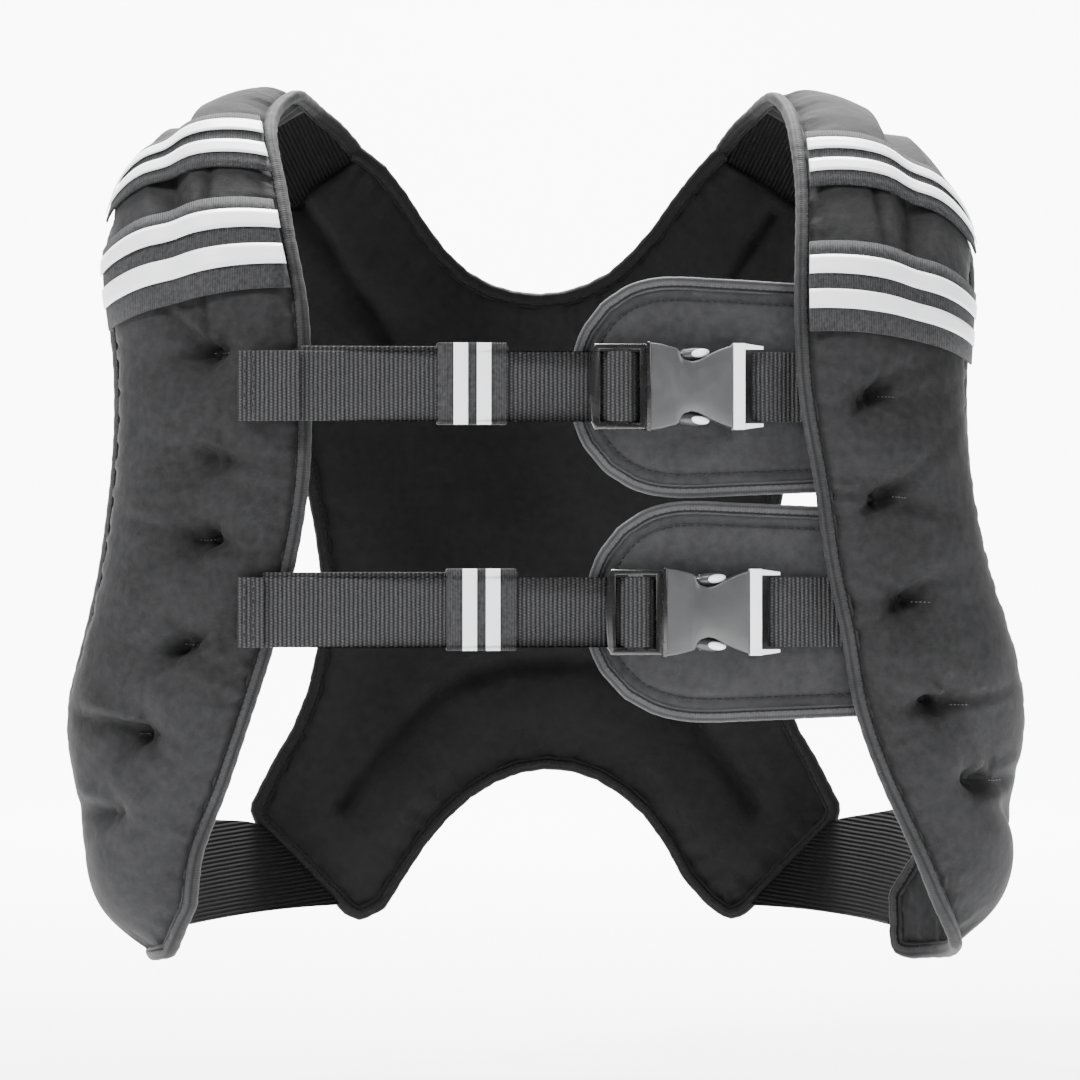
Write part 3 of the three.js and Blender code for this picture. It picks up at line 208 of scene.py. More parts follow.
# ---- materials
class Wire:
    # an output socket with plain arithmetic, each step of which is a Math node
    def __init__(self, tree, socket):
        self.tree = tree
        self.socket = socket

    def node(self, kind, settings=(), inputs=(), output=0):
        made = self.tree.nodes.new("ShaderNode" + kind)
        for key, value in dict(settings).items():
            setattr(made, key, value)
        for key, value in dict(inputs).items():
            if isinstance(value, Wire):
                self.tree.links.new(value.socket, made.inputs[key])
            else:
                made.inputs[key].default_value = value
        return Wire(self.tree, made.outputs[output])

    def other(self, output):
        return Wire(self.tree, self.socket.node.outputs[output])

    def maths(self, operation, *values):
        return self.node("Math", {"operation": operation}, dict(enumerate(values)))

    def __add__(self, value):
        return self.maths("ADD", self, value)

    def __sub__(self, value):
        return self.maths("SUBTRACT", self, value)

    def __rsub__(self, value):
        return self.maths("SUBTRACT", value, self)

    def __mul__(self, value):
        return self.maths("MULTIPLY", self, value)

    def __pow__(self, value):
        return self.maths("POWER", self, value)

    __radd__ = __add__
    __rmul__ = __mul__

    def wave(self, period):
        return self.maths("SINE", self * (2 * math.pi / period)) * 0.5 + 0.5

    def noise(self, scale, detail=2.0):
        return self.node("TexNoise", {}, {"Vector": self, "Scale": scale, "Detail": detail})

    def line(self, place, width):
        near = self.maths("ABSOLUTE", self - place) * (1 / width)
        return self.maths("MAXIMUM", 1 - near, 0.0)

    def mixed(self, first, second):
        inputs = {0: self, 6: (*first, 1) if isinstance(first, tuple) else first,
                  7: (*second, 1) if isinstance(second, tuple) else second}
        return self.node("Mix", {"data_type": "RGBA"}, inputs, 2)


def shade(grey, tint=0.012):
    # a grey as sRGB from 0 to 255, a little cool, as a linear colour
    level = grey / 255
    linear = level / 12.92 if level <= 0.04045 else ((level + 0.055) / 1.055) ** 2.4
    return (linear * (1 - tint), linear * (1 - tint / 2), linear * (1 + 3 * tint))


def startMaterial(name, sheen=0.0, coat=0.0, specular=0.5):
    material = bpy.data.materials.new(name)
    material.use_nodes = True
    tree = material.node_tree
    shader = tree.nodes["Principled BSDF"]
    shader.inputs["Sheen Weight"].default_value = sheen
    shader.inputs["Sheen Roughness"].default_value = 0.4
    shader.inputs["Coat Weight"].default_value = coat
    shader.inputs["Coat Roughness"].default_value = 0.12
    shader.inputs["Specular IOR Level"].default_value = specular
    place = Wire(tree, tree.nodes.new("ShaderNodeTexCoord").outputs["Object"])
    return material, shader, place


def plugIn(shader, colour, roughness, height, depth):
    tree = shader.id_data
    tree.links.new(colour.socket, shader.inputs["Base Color"])
    tree.links.new(roughness.socket, shader.inputs["Roughness"])
    bump = height.node("Bump", {}, {"Height": height, "Strength": 1.0, "Distance": depth})
    tree.links.new(bump.socket, shader.inputs["Normal"])


def smoothCloth(name, dark, light, roughness=0.8, sheen=0.03):
    # a close knit with a soft nap, with painted shade where the cloth is pulled into a tuft or a seam
    material, shader, place = startMaterial(name, sheen=sheen, specular=0.12)
    broad = place.noise(11, 3)
    knit = place.noise(1500, 1)
    nap = place.noise(260, 3)
    creaseShade = place.node("Attribute", {"attribute_name": "creaseShade"}, {}, 2)
    tone = (broad - 0.5) * 1.3 + (nap - 0.5) * 1.0 + 0.5
    # the attribute read above mixes in a darker grey: painted shade in tufts, seams and grooves
    colour = (creaseShade * 0.85).mixed(tone.mixed(shade(dark), shade(light)), shade(dark * 0.45))
    folds = place.noise(55, 2)
    plugIn(shader, colour, nap * 0.2 + (roughness - 0.1), folds * 1.2 + nap * 0.22 + knit * 0.16, 0.0011)
    return material


def edgingCloth(name, dark, light, seams=(0.335, 0.665), stitch=0.0027, darkBehind=None):
    # a folded knit tape: fine ribs across it, a sunk double seam, thread in the seam, and painted shade in its folds,
    # in its seam and where it meets the cloth it binds
    material, shader, place = startMaterial(name, sheen=0.03, specular=0.16)
    unwrapped = place.node("UVMap", {"uv_map": "tape"})
    along = unwrapped.node("SeparateXYZ", {}, {0: unwrapped})
    around = along.other(1)
    ribs = along.wave(0.0012)
    nap = place.noise(420, 3)
    broad = place.noise(30, 2)
    groove = around.maths("MAXIMUM", around.line(seams[0], 0.045), around.line(seams[1], 0.045))
    jointShade = around.line(0.5, 0.085)
    gathers = place.noise(190, 2)
    fold = around.maths("MAXIMUM", around.line(0.17, 0.05), around.line(0.83, 0.05))
    thread = along.wave(stitch).maths("GREATER_THAN", along.wave(stitch), 0.42)
    rows = around.maths("MAXIMUM", around.line(seams[0] - 0.035, 0.012), around.line(seams[1] + 0.035, 0.012))
    sewn = rows * thread
    tone = broad * 0.5 + nap * 0.45 + ribs * 0.12 - 0.05
    colour = tone.mixed(shade(dark), shade(light))
    # painted shade: in the two fold lines, where the tape meets the cloth it binds, and in the sunk double seam
    colour = (fold * 0.7).mixed(colour, shade(dark * 0.5))
    colour = jointShade.mixed(colour, shade(dark * 0.25))
    colour = groove.mixed(colour, shade(dark * 0.22))
    colour = (sewn * 0.6).mixed(colour, shade(light * 1.1))
    if darkBehind:
        # past the top of the shoulder the tape turns as dark as the tape of the neckline, in part as painted shade
        # inside the vest
        depth = place.node("SeparateXYZ", {}, {0: place}).other(1)
        behind = depth.node("MapRange", {}, {0: depth, 1: darkBehind[0], 2: darkBehind[1]})
        colour = behind.mixed(colour, (tone * 0.6).mixed(shade(dark * 0.2), shade(dark * 0.7)))
    height = ribs * 0.12 + nap * 0.3 + gathers * 0.9 - groove * 1.3 + sewn * 0.5 - fold * 0.45
    plugIn(shader, colour, nap * 0.15 + 0.62, height, 0.0005)
    return material


def ribbedElastic(name, dark, light, period):
    material, shader, place = startMaterial(name, sheen=0.0, specular=0.08)
    across = place.node("Attribute", {"attribute_name": "across"}, {}, 2)
    wander = place.noise(40, 2)
    rib = (across + wander * 0.0006).wave(period)
    threads = place.noise(900, 2)
    tone = rib * 0.7 + threads * 0.35 - 0.08
    colour = tone.mixed(shade(dark), shade(light))
    plugIn(shader, colour, threads * 0.1 + 0.72, rib * 1.0 + threads * 0.2, 0.0008)
    return material


def wovenWebbing(name, dark, light, period=0.0019, knot=0.0013):
    # heavy ribs that run across the strap, each a column of knots out of step with the next
    material, shader, place = startMaterial(name, sheen=0.02, specular=0.18)
    x = place.node("SeparateXYZ", {}, {0: place})
    z = x.other(2)
    wander = place.noise(120, 2) * 0.0005
    column = (x + wander).wave(period)
    turn = x.maths("FLOOR", (x + wander) * (1 / period)) * (0.5 * knot)
    knots = (z + turn).wave(knot)
    fibre = place.noise(1600, 2)
    tone = column * (0.3 + 0.6 * knots) + fibre * 0.6 - 0.2
    colour = tone.mixed(shade(dark), shade(light))
    plugIn(shader, colour, fibre * 0.15 + 0.62, column * (0.5 + 0.5 * knots) + fibre * 0.2, 0.0006)
    return material


def ribbedTape(name, dark, light):
    material, shader, place = startMaterial(name, sheen=0.02, specular=0.14)
    along = place.node("Attribute", {"attribute_name": "along"}, {}, 2)
    ribs = along.wave(0.0011)
    heather = place.noise(620, 3)
    tone = heather * 1.1 + ribs * 0.25 - 0.22
    colour = tone.mixed(shade(dark), shade(light))
    plugIn(shader, colour, heather * 0.12 + 0.66, ribs * 0.6 + heather * 0.5, 0.00035)
    return material


def reflectiveTape(name, grey):
    # glass beads in a white resin, with a faint heat sealed grid and a few grey rubs
    material, shader, place = startMaterial(name, coat=0.15)
    beads = place.noise(2400, 1)
    rubs = place.noise(45, 4)
    grid = place.node("TexVoronoi", {}, {"Vector": place, "Scale": 420.0})
    colour = (rubs * 0.5 + beads * 0.3).mixed(shade(grey), shade(grey * 0.86))
    plugIn(shader, colour, rubs * 0.25 + 0.3, beads * 0.4 + grid * 0.6, 0.00012)
    return material


def mouldedPlastic(name, dark, light, roughness, coat, grain=0.00006):
    material, shader, place = startMaterial(name, coat=coat)
    texture = place.noise(1900, 2)
    cloud = place.noise(70, 2)
    scuffs = place.noise(190, 5) ** 3.0
    colour = (cloud * 0.7 + texture * 0.25).mixed(shade(dark), shade(light))
    plugIn(shader, colour, scuffs * 0.6 + cloud * 0.1 + (roughness - 0.08), texture * 0.6 + scuffs * 0.6, grain)
    return material


neoprene = smoothCloth("neoprene", 20, 50)
# darker than the front cloth, in part as painted shade inside the vest
backCloth = smoothCloth("back_cloth", 8, 28, sheen=0.0)
flapCloth = smoothCloth("flap_cloth", 38, 64)
edging = edgingCloth("edging", 14, 66, darkBehind=(0.018, 0.024))
# darker than the front tape, in part as painted shade inside the vest
backEdging = edgingCloth("back_edging", 3, 20)
flapEdging = edgingCloth("flap_edging", 42, 90)
elasticRib = ribbedElastic("elastic_rib", 1, 22, 0.0019)
webbingWeave = wovenWebbing("webbing_weave", 6, 76)
tapeRib = ribbedTape("tape_rib", 20, 72)
reflective = reflectiveTape("reflective", 250)
framePlastic = mouldedPlastic("frame_plastic", 8, 24, 0.2, 1.0)
bodyPlastic = mouldedPlastic("body_plastic", 46, 76, 0.32, 0.4)
# near white, a painted highlight on the socket's end bar and on the prong tips
highlightPlastic = mouldedPlastic("highlight_plastic", 240, 252, 0.16, 0.8)
thread = smoothCloth("thread", 30, 52)
paleThread = smoothCloth("pale_thread", 60, 96)
print("materials")


# ---- floor and backdrop, one swept sheet
def makeFloor():
    bpy.ops.object.select_all(action="DESELECT")
    bpy.ops.mesh.primitive_plane_add(size=9, location=(0, -0.5, view["floor"]))
    floor = bpy.context.object
    floor.name = "studio_floor"
    bpy.ops.object.mode_set(mode="EDIT")
    bpy.ops.mesh.select_all(action="DESELECT")
    bpy.ops.object.mode_set(mode="OBJECT")
    for edge in floor.data.edges:
        edge.select = all(floor.data.vertices[k].co.y > 0 for k in edge.vertices)
    bpy.ops.object.mode_set(mode="EDIT")
    bpy.ops.mesh.extrude_region_move(TRANSFORM_OT_translate={"value": (0, 0, 5)})
    bpy.ops.object.mode_set(mode="OBJECT")
    bpy.ops.object.transform_apply(location=True, rotation=True, scale=True)
    applyModifier(floor, "BEVEL", width=1.6, segments=12, limit_method="ANGLE")
    smoothShade(floor)
    material, shader, place = startMaterial("floor", specular=0.1)
    cloud = place.noise(3, 2)
    colour = cloud.mixed(view["floorColour"], tuple(0.98 * c for c in view["floorColour"]))
    plugIn(shader, colour, cloud * 0.1 + 0.8, cloud * 0.1, 0.0005)
    floor.data.materials.append(material)


makeFloor()


# ---- padded panels
def cappedCloth(piece, pinned, pressure, cap, frames=20):
    # blows the closed shape up a little and keeps every point near where it was
    before = points(piece)
    group = piece.vertex_groups.new(name="sewn")
    group.add([int(k) for k in pinned], 1.0, "REPLACE")
    cloth = piece.modifiers.new("cloth", "CLOTH")
    cloth.settings.use_pressure = True
    cloth.settings.uniform_pressure_force = pressure
    cloth.settings.vertex_group_mass = "sewn"
    cloth.settings.quality = 5
    cloth.settings.effector_weights.gravity = 0
    cloth.collision_settings.use_collision = False
    cloth.point_cache.frame_start = 1
    cloth.point_cache.frame_end = frames
    for step in range(1, frames + 1):
        bpy.context.scene.frame_set(step)
    blown = piece.evaluated_get(bpy.context.evaluated_depsgraph_get()).data
    after = np.empty(len(blown.vertices) * 3)
    blown.vertices.foreach_get("co", after)
    move = after.reshape(-1, 3) - before
    length = np.linalg.norm(move, axis=1, keepdims=True)
    move *= np.minimum(1, cap[:, None] / np.maximum(length, 1e-9))
    piece.modifiers.remove(cloth)
    piece.vertex_groups.remove(group)
    movePoints(piece, before + move)
    bpy.context.scene.frame_set(1)
    print("   cloth moved", round(float(np.abs(length).max()) * 1000, 1), "mm, kept", round(float(cap.max()) * 1000, 1))


def distances(piece, names):
    surface = surfaceOf(names)
    return np.array([surface.find_nearest(Vector(p))[3] for p in points(piece)])


def foldsAround(places, centres, settings, seed):
    # short folds that run out from each tuft, unlike one another, with a mask of painted shade for each tuft's pit and
    # slit
    shift = np.zeros(len(places))
    dentShade = np.zeros(len(places))
    luck = random.Random(seed)
    for centre, normal, strength in centres:
        away = places - np.array(centre)
        over = np.cross(np.array(normal), (0, 0, 1))
        over /= np.linalg.norm(over)
        up = np.cross(over, np.array(normal))
        reach = np.linalg.norm(away, axis=1)
        angle = np.arctan2(away @ up, away @ over)
        for _ in range(settings["folds"]):
            heading = luck.uniform(-0.75, 0.75) + luck.choice((0, math.pi))
            length = settings["length"] * luck.uniform(0.6, 1.3)
            width = settings["width"] * luck.uniform(0.7, 1.4)
            off = np.angle(np.exp(1j * (angle - heading)))
            side = reach * np.sin(np.clip(off, -1.5, 1.5))
            fade = np.exp(-(reach / length) ** 2) * (np.abs(off) < 1.5) * np.minimum(1, reach / 0.005)
            shift -= settings["depth"] * strength * fade * np.exp(-(side / width) ** 2)
            shift += 0.45 * settings["depth"] * strength * fade * np.exp(-((side - 1.9 * width) / width) ** 2)
        sideways, upward = away @ over, away @ up
        pit = np.exp(-(sideways / settings["pit"]) ** 2 - (upward / (settings["flat"] * settings["pit"])) ** 2)
        slit = np.exp(-(sideways / settings["slit"][0]) ** 2 - (upward / settings["slit"][1]) ** 2)
        shift -= strength * (settings["pitDepth"] * pit + settings["slitDepth"] * slit)
        # painted shade in the pit and the slit
        dentShade = np.maximum(dentShade, strength * np.maximum(0.55 * pit, slit))
    return shift, dentShade


def seamShift(places, line, width):
    # nearness to a sewn line, from 0 to 1
    near = np.full(len(places), 1.0)
    for start, end in zip(line, line[1:]):
        a, b = np.array(start), np.array(end)
        along = np.clip(((places - a) @ (b - a)) / ((b - a) @ (b - a)), 0, 1)
        near = np.minimum(near, np.linalg.norm(places - a - along[:, None] * (b - a), axis=1))
    return np.exp(-(near / width) ** 2)


def nearestOn(path, places):
    tree = KDTree(len(path))
    for k, place in enumerate(path):
        tree.insert(place, k)
    tree.balance()
    found = [tree.find(Vector(p)) for p in places]
    return np.array([tuple(f[0]) for f in found]), np.array([f[1] for f in found]), np.array([f[2] for f in found])


def seatRim(piece, edgeNode, settings):
    # moves the sharp rim of a control shape into the middle of its bound edge
    path = smoothPath(ringCentres(edgeNode, settings["radius"]), settings["step"])
    creases = piece.data.attributes["crease_edge"].data
    rim = sorted({k for edge in piece.data.edges if creases[edge.index].value > 0.5 for k in edge.vertices})
    places = points(piece)
    low = places[rim][:, 2] < settings["lowBelow"]
    # round the lower corners the rim is spread outwards, so that it fills them
    nearest, _, _ = nearestOn(path, places[rim] + normals(piece)[rim] * (low * settings["spread"])[:, None])
    away = np.linalg.norm(nearest - places[rim], axis=1)
    reach = np.where(low, settings["lowFrom"], settings["seatFrom"])
    seat = np.where(low, 0.3, 1.0) * settings["seat"]
    move = np.where(away < reach, np.maximum(away - seat, 0), 0)
    places[rim] += (nearest - places[rim]) * (move / np.maximum(away, 1e-6))[:, None]
    movePoints(piece, places)


def puckers(piece, edgeNode, settings):
    # gathers the cloth a little where it meets its bound edge
    path = smoothPath(ringCentres(edgeNode, settings["radius"]), settings["step"])
    places = points(piece)
    _, order, away = nearestOn(path, places)
    along = order * settings["step"]
    gather = np.sin(along * 2 * math.pi / settings["pitch"] + 2.2 * np.sin(along * 31) + 1.3 * np.sin(along * 77))
    fade = np.exp(-((away - settings["start"]) / settings["reach"]) ** 2)
    return gather * fade * settings["height"], away, along


def ringCentres(node, radius):
    # middles of the rings of an edge tube, from one end to the other
    shape = nodeMesh(node)
    shape.verts.ensure_lookup_table()

    def spread(start):
        seen, ring, rings = set(start), list(start), []
        while ring:
            rings.append(ring)
            following = {e.other_vert(v) for v in ring for e in v.link_edges} - seen
            seen |= following
            ring = sorted(following, key=lambda v: v.index)
        return rings

    tip = spread([shape.verts[0]])[-1][0]
    cap = [v for v in shape.verts if (v.co - tip.co).length < 2.1 * radius]
    middles = [sum((v.co for v in ring), Vector()) / len(ring) for ring in spread(cap)]
    shape.free()
    return middles


def smoothPath(middles, step):
    # a Catmull-Rom line through the middles, with even steps
    line = []
    padded = [2 * middles[0] - middles[1], *middles, 2 * middles[-1] - middles[-2]]
    for k in range(1, len(padded) - 2):
        a, b, c, d = padded[k - 1:k + 3]
        for s in range(8):
            t = s / 8
            line.append(b + 0.5 * t * (c - a + t * (2 * a - 5 * b + 4 * c - d + t * (3 * (b - c) + d - a))))
    line.append(middles[-1])
    lengths = np.cumsum([0] + [(q - p).length for p, q in zip(line, line[1:])])
    count = max(2, round(lengths[-1] / step))
    even = np.linspace(0, lengths[-1], count + 1)
    flat = np.array([tuple(p) for p in line])
    return [Vector([float(np.interp(s, lengths, flat[:, k])) for k in range(3)]) for s in even]


frontPads = {
    "levels": 2,
    "pressure": 4.0,
    "cap": 0.0022,
    "folds": {"folds": 7, "length": 0.026, "width": 0.0032, "depth": 0.0028, "pit": 0.0105,
              "flat": 0.6, "pitDepth": 0.0042, "slit": (0.0052, 0.0013), "slitDepth": 0.0016},
    "pucker": {"radius": 0.0032, "step": 0.004, "pitch": 0.0125, "start": 0.006, "reach": 0.009,
               "height": 0.0006, "seatFrom": 0.0098, "lowFrom": 0.023,
               "lowBelow": -0.30, "spread": 0.013, "seat": 0.0016},
    "broad": {"reach": 0.017, "depth": 0.0052},
    "seamWidth": 0.0021,
    "seamDepth": 0.0016,
    # tufts and the shoulder seam as they are seen in the photograph, with a strength
    "left": {
        "tufts": [(207, 352, 1), (212, 460, 0.55), (194, 540, 1), (178, 645, 1), (135, 735, 0.9), (106, 815, 0.5)],
        "seams": [[(214, 140), (205, 200), (203, 260), (203, 345)]],
    },
    "right": {
        "tufts": [(876, 397, 0.9), (891, 497, 1), (908, 603, 1), (947, 706, 1), (987, 782, 0.9)],
        "seams": [[(862, 150), (878, 200), (888, 260), (884, 390)]],
    },
}


def makeFrontPad(side):
    node = f"{side}_front_panel"
    piece = quadCopy(node, f"{side}_front_pad", 38)
    seatRim(piece, f"{side}_front_binding", frontPads["pucker"])
    subdivide(piece, frontPads["levels"])
    surface = surfaceOf([node])
    tufts = []
    for px, py, strength in frontPads[side]["tufts"]:
        place, normal = seenPoint(px, py, surface)
        tufts.append((place, normal, strength))
    seams = [[seenPoint(px, py, surface)[0] for px, py in line] for line in frontPads[side]["seams"]]
    places = points(piece)
    edge = distances(piece, [f"{side}_front_binding"])
    neighbours = [n for n in nodes if n.startswith(f"{side}_") and n.endswith("_band")]
    neighbours += [n for n in nodes if n.startswith(("upper_", "lower_"))]
    room = distances(piece, neighbours)
    near = np.min([np.linalg.norm(places - np.array(t[0]), axis=1) for t in tufts], axis=0)
    pinned = np.nonzero((edge < 0.0035) | (near < 0.006))[0]
    cap = np.minimum(frontPads["cap"], np.maximum(room - 0.0006, 0.0))
    cappedCloth(piece, pinned, frontPads["pressure"], cap)
    subdivide(piece, 1)
    gather, away, along = puckers(piece, f"{side}_front_binding", frontPads["pucker"])
    places, outward = points(piece), normals(piece)
    shift, dentShade = foldsAround(places, tufts, frontPads["folds"], seed=7 if side == "left" else 11)
    for centre, _, strength in tufts:
        reach = np.linalg.norm(places - np.array(centre), axis=1)
        shift -= frontPads["broad"]["depth"] * strength * np.exp(-(reach / frontPads["broad"]["reach"]) ** 2)
    for line in seams:
        sewn = seamShift(places, line, frontPads["seamWidth"])
        shift -= frontPads["seamDepth"] * sewn
        # painted shade in the sewn seam
        dentShade = np.maximum(dentShade, 0.6 * sewn)
    room = distances(piece, neighbours)
    shift = np.minimum(shift + gather, np.maximum(room - 0.0005, 0.0))
    movePoints(piece, places + outward * shift[:, None])
    # painted shade in the tufts and seams, and a line of painted shade where the pad meets its bound edge
    addAttribute(piece, "creaseShade", np.clip(dentShade + 0.9 * np.exp(-((away - 0.0034) / 0.0016) ** 2), 0, 1))
    smoothShade(piece, 180)
    finish(piece, node, neoprene)
    print("  ", piece.name, len(piece.data.polygons), "faces")
    return piece, tufts


backPads = {
    "levels": 2,
    "pressure": 4.0,
    "cap": 0.003,
        "pucker": {"radius": 0.0032, "step": 0.004, "pitch": 0.015, "start": 0.006, "reach": 0.010,
               "height": 0.0006, "seatFrom": 0.0098, "lowFrom": 0.023,
               "lowBelow": -0.30, "spread": 0.013, "seat": 0.0016},
    "sides": {"depth": 0.0046, "width": 0.0042, "swell": 0.0022, "swellReach": 0.015},
    # sewn channels as they are seen in the photograph
    "seams": [
        [(300, 208), (322, 240), (350, 285), (378, 326), (392, 352)],
        [(772, 218), (757, 240), (734, 278), (705, 318), (690, 348)],
        [(346, 806), (360, 785), (408, 724), (450, 684), (509, 665), (589, 663), (640, 684), (694, 724), (741, 787), (752, 806)],
    ],
}


def makeBackPad():
    piece = quadCopy("back_panel", "back_pad", 38)
    for edgeNode in ("back_outer_binding", "back_neck_binding"):
        seatRim(piece, edgeNode, backPads["pucker"])
    subdivide(piece, backPads["levels"])
    edge = distances(piece, ["back_outer_binding", "back_neck_binding"])
    room = distances(piece, ["right_shoulder_elastic", "left_shoulder_elastic"])
    pinned = np.nonzero(edge < 0.004)[0]
    cap = np.minimum(backPads["cap"], np.maximum(room - 0.0006, 0.0))
    cappedCloth(piece, pinned, backPads["pressure"], cap)
    subdivide(piece, 1)
    outer, awayOuter, _ = puckers(piece, "back_outer_binding", backPads["pucker"])
    neck, awayNeck, _ = puckers(piece, "back_neck_binding", backPads["pucker"])
    away = np.minimum(awayOuter, awayNeck)
    places, outward = points(piece), normals(piece)
    surface = surfaceOf(["back_panel"])
    sides = backPads["sides"]
    shift = outer + neck
    # a line of painted shade where the pad meets its bound edges
    dentShade = 0.5 * np.exp(-((away - 0.003) / 0.003) ** 2)
    faded = np.clip((away - 0.006) / 0.012, 0, 1)
    for line in backPads["seams"]:
        sewn = seamShift(places, [seenPoint(px, py, surface)[0] for px, py in line], 1.0)
        near = np.sqrt(-np.log(np.maximum(sewn, 1e-30)))
        channel = np.exp(-(near / sides["width"]) ** 2) * faded
        shift += sides["swell"] * np.exp(-((near - sides["swellReach"]) / sides["swellReach"]) ** 2) * faded
        shift -= sides["depth"] * channel
        # painted shade in the sewn channel
        dentShade = np.maximum(dentShade, 0.8 * channel)
    movePoints(piece, places + outward * shift[:, None])
    addAttribute(piece, "creaseShade", np.clip(dentShade, 0, 1))
    smoothShade(piece, 180)
    finish(piece, "back_panel", backCloth)
    print("  ", piece.name, len(piece.data.polygons), "faces")
    return piece


leftPad, leftTufts = makeFrontPad("left")
rightPad, rightTufts = makeFrontPad("right")
backPad = makeBackPad()
print("padded panels")


# ---- bound edges: a folded tape swept along the middle line of each edge
def sweptTape(name, path, inward, tape):
    count = tape["sides"]
    vertices, faces, uvs = [], [], []
    lengths = np.cumsum([0] + [(q - p).length for p, q in zip(path, path[1:])])
    for k, place in enumerate(path):
        ahead = path[min(k + 1, len(path) - 1)] - path[max(k - 1, 0)]
        ahead.normalize()
        out = -(inward[k] - ahead * inward[k].dot(ahead)).normalized()
        face = out.cross(ahead)
        s = lengths[k]
        swell = 1 + tape["gather"] * math.sin(s * 2 * math.pi / tape["pitch"] + 2 * math.sin(s * 57))
        for j in range(count):
            angle = 2 * math.pi * j / count
            turn = math.pi - abs(angle - math.pi)
            pull = sum(depth * math.exp(-((turn - seam) / 0.17) ** 2) for seam, depth in tape["seams"])
            size = swell - pull
            flat = abs(math.cos(angle)) ** 2.6 + abs(math.sin(angle)) ** 2.6
            size /= flat ** (1 / 2.6)
            x = tape["width"] * size * math.cos(angle)
            y = tape["thickness"] * size * math.sin(angle)
            vertices.append(place + out * x + face * y)
    rings = len(path)
    for k in range(rings - 1):
        for j in range(count):
            n = (j + 1) % count
            faces.append([k * count + j, k * count + n, (k + 1) * count + n, (k + 1) * count + j])
            u0, u1 = lengths[k], lengths[k + 1]
            v0, v1 = j / count, (j + 1) / count
            uvs += [(u0, v0), (u0, v1), (u1, v1), (u1, v0)]
    faces.append(list(range(count))[::-1])
    faces.append([(rings - 1) * count + j for j in range(count)])
    uvs += [(0, 0.5)] * (2 * count)
    piece = newPiece(name, vertices, faces)
    layer = piece.data.uv_layers.new(name="tape")
    layer.data.foreach_set("uv", np.array(uvs, dtype=np.float32).ravel())
    activate(piece)
    bpy.ops.object.mode_set(mode="EDIT")
    bpy.ops.mesh.select_all(action="SELECT")
    bpy.ops.mesh.normals_make_consistent(inside=False)
    bpy.ops.object.mode_set(mode="OBJECT")
    smoothShade(piece, 180)
    return piece


frontTape = {"radius": 0.0032, "reach": 0.0028, "hug": 0.0048, "width": 0.0037, "thickness": 0.0029, "sides": 20, "step": 0.0028,
             "seams": ((2.1, 0.17), (1.07, 0.06)), "gather": 0.035, "pitch": 0.0085}
backTape = {**frontTape, "width": 0.0036, "thickness": 0.003}
flapTape = {"radius": 0.0025, "reach": 0.001, "hug": 0.0045, "width": 0.0029, "thickness": 0.0023, "sides": 16, "step": 0.0026,
            "seams": ((2.1, 0.14), (1.07, 0.05)), "gather": 0.02, "pitch": 0.006}


def makeEdge(node, bodies, tape, material):
    middles = ringCentres(node, tape["radius"])
    for end, near in ((0, 1), (-1, -2)):
        middles[end] = middles[end] + (middles[end] - middles[near]).normalized() * tape["reach"]
    path = smoothPath(middles, tape["step"])
    surface = surfaceOf(bodies)
    # where the edge swings wide of a corner, the tape keeps to the cloth
    for k, place in enumerate(path):
        gap = surface.find_nearest(place)[0] - place
        if gap.length > tape["hug"]:
            path[k] = place + gap.normalized() * (gap.length - tape["hug"])
    inward = [surface.find_nearest(p)[0] - p for p in path]
    window = 4
    smoothed = []
    for k in range(len(path)):
        near = inward[max(0, k - window):k + window + 1]
        smoothed.append(sum((v.normalized() for v in near), Vector()).normalized())
    piece = sweptTape(node.replace("binding", "edging"), path, smoothed, tape)
    finish(piece, node, material)
    return piece, path, smoothed


edges = {}
for side in ("left", "right"):
    edges[side] = makeEdge(f"{side}_front_binding", [f"{side}_front_panel", f"{side}_shoulder_elastic"],
                           frontTape, edging)
makeEdge("back_outer_binding", ["back_panel"], backTape, backEdging)
makeEdge("back_neck_binding", ["back_panel"], backTape, backEdging)
print("bound edges")


# ---- elastics
elastics = {
    "shoulder": {"across": (0.9, 0.0, -0.42), "levels": 3, "grow": 1.09, "left": (0, 0), "right": (0, 0),
                 "flat": {"left": (0.064, 0.0685), "right": (0.067, 0.0688)}},
    # the side pieces are let out a little above and below, as they hang in the photograph
    "side": {"across": (0.10, 0.0, 1.0), "levels": 3, "grow": 1.03, "left": (0.002, -0.019), "right": (0.012, -0.016),
             "flat": {"left": (0.055, 0.0925), "right": (0.055, 0.0925)}},
}


def makeElastic(kind, side):
    node = f"{side}_{kind}_elastic"
    settings = elastics[kind]
    piece = quadCopy(node, f"{side}_{kind}_rib")
    subdivide(piece, settings["levels"])
    mirror = -1 if side == "left" else 1
    direction = np.array(settings["across"]) * (mirror, 1, 1)
    places = points(piece)
    above, below = settings[side]
    if above or below:
        # a straight share of the way from the back end to the front one, and up from the lower edge
        depth = places[:, 1]
        front = (depth.max() - depth) / (depth.max() - depth.min())
        bins = np.clip((front * 12).astype(int), 0, 11)
        lows = np.array([places[bins == k, 2].min() for k in range(12)])
        highs = np.array([places[bins == k, 2].max() for k in range(12)])
        centres = (np.arange(12) + 0.5) / 12
        low, high = np.interp(front, centres, lows), np.interp(front, centres, highs)
        up = np.clip((places[:, 2] - low) / (high - low), 0, 1)
        places[:, 2] += (above * up + below * (1 - up)) * front
        movePoints(piece, places)
    # lets the edges run on into the seams round them
    centre = places.mean(axis=0)
    places = centre + (places - centre) * settings["grow"]
    movePoints(piece, places)
    addAttribute(piece, "across", places @ direction)
    smoothShade(piece, 60)
    finish(piece, node, elasticRib)


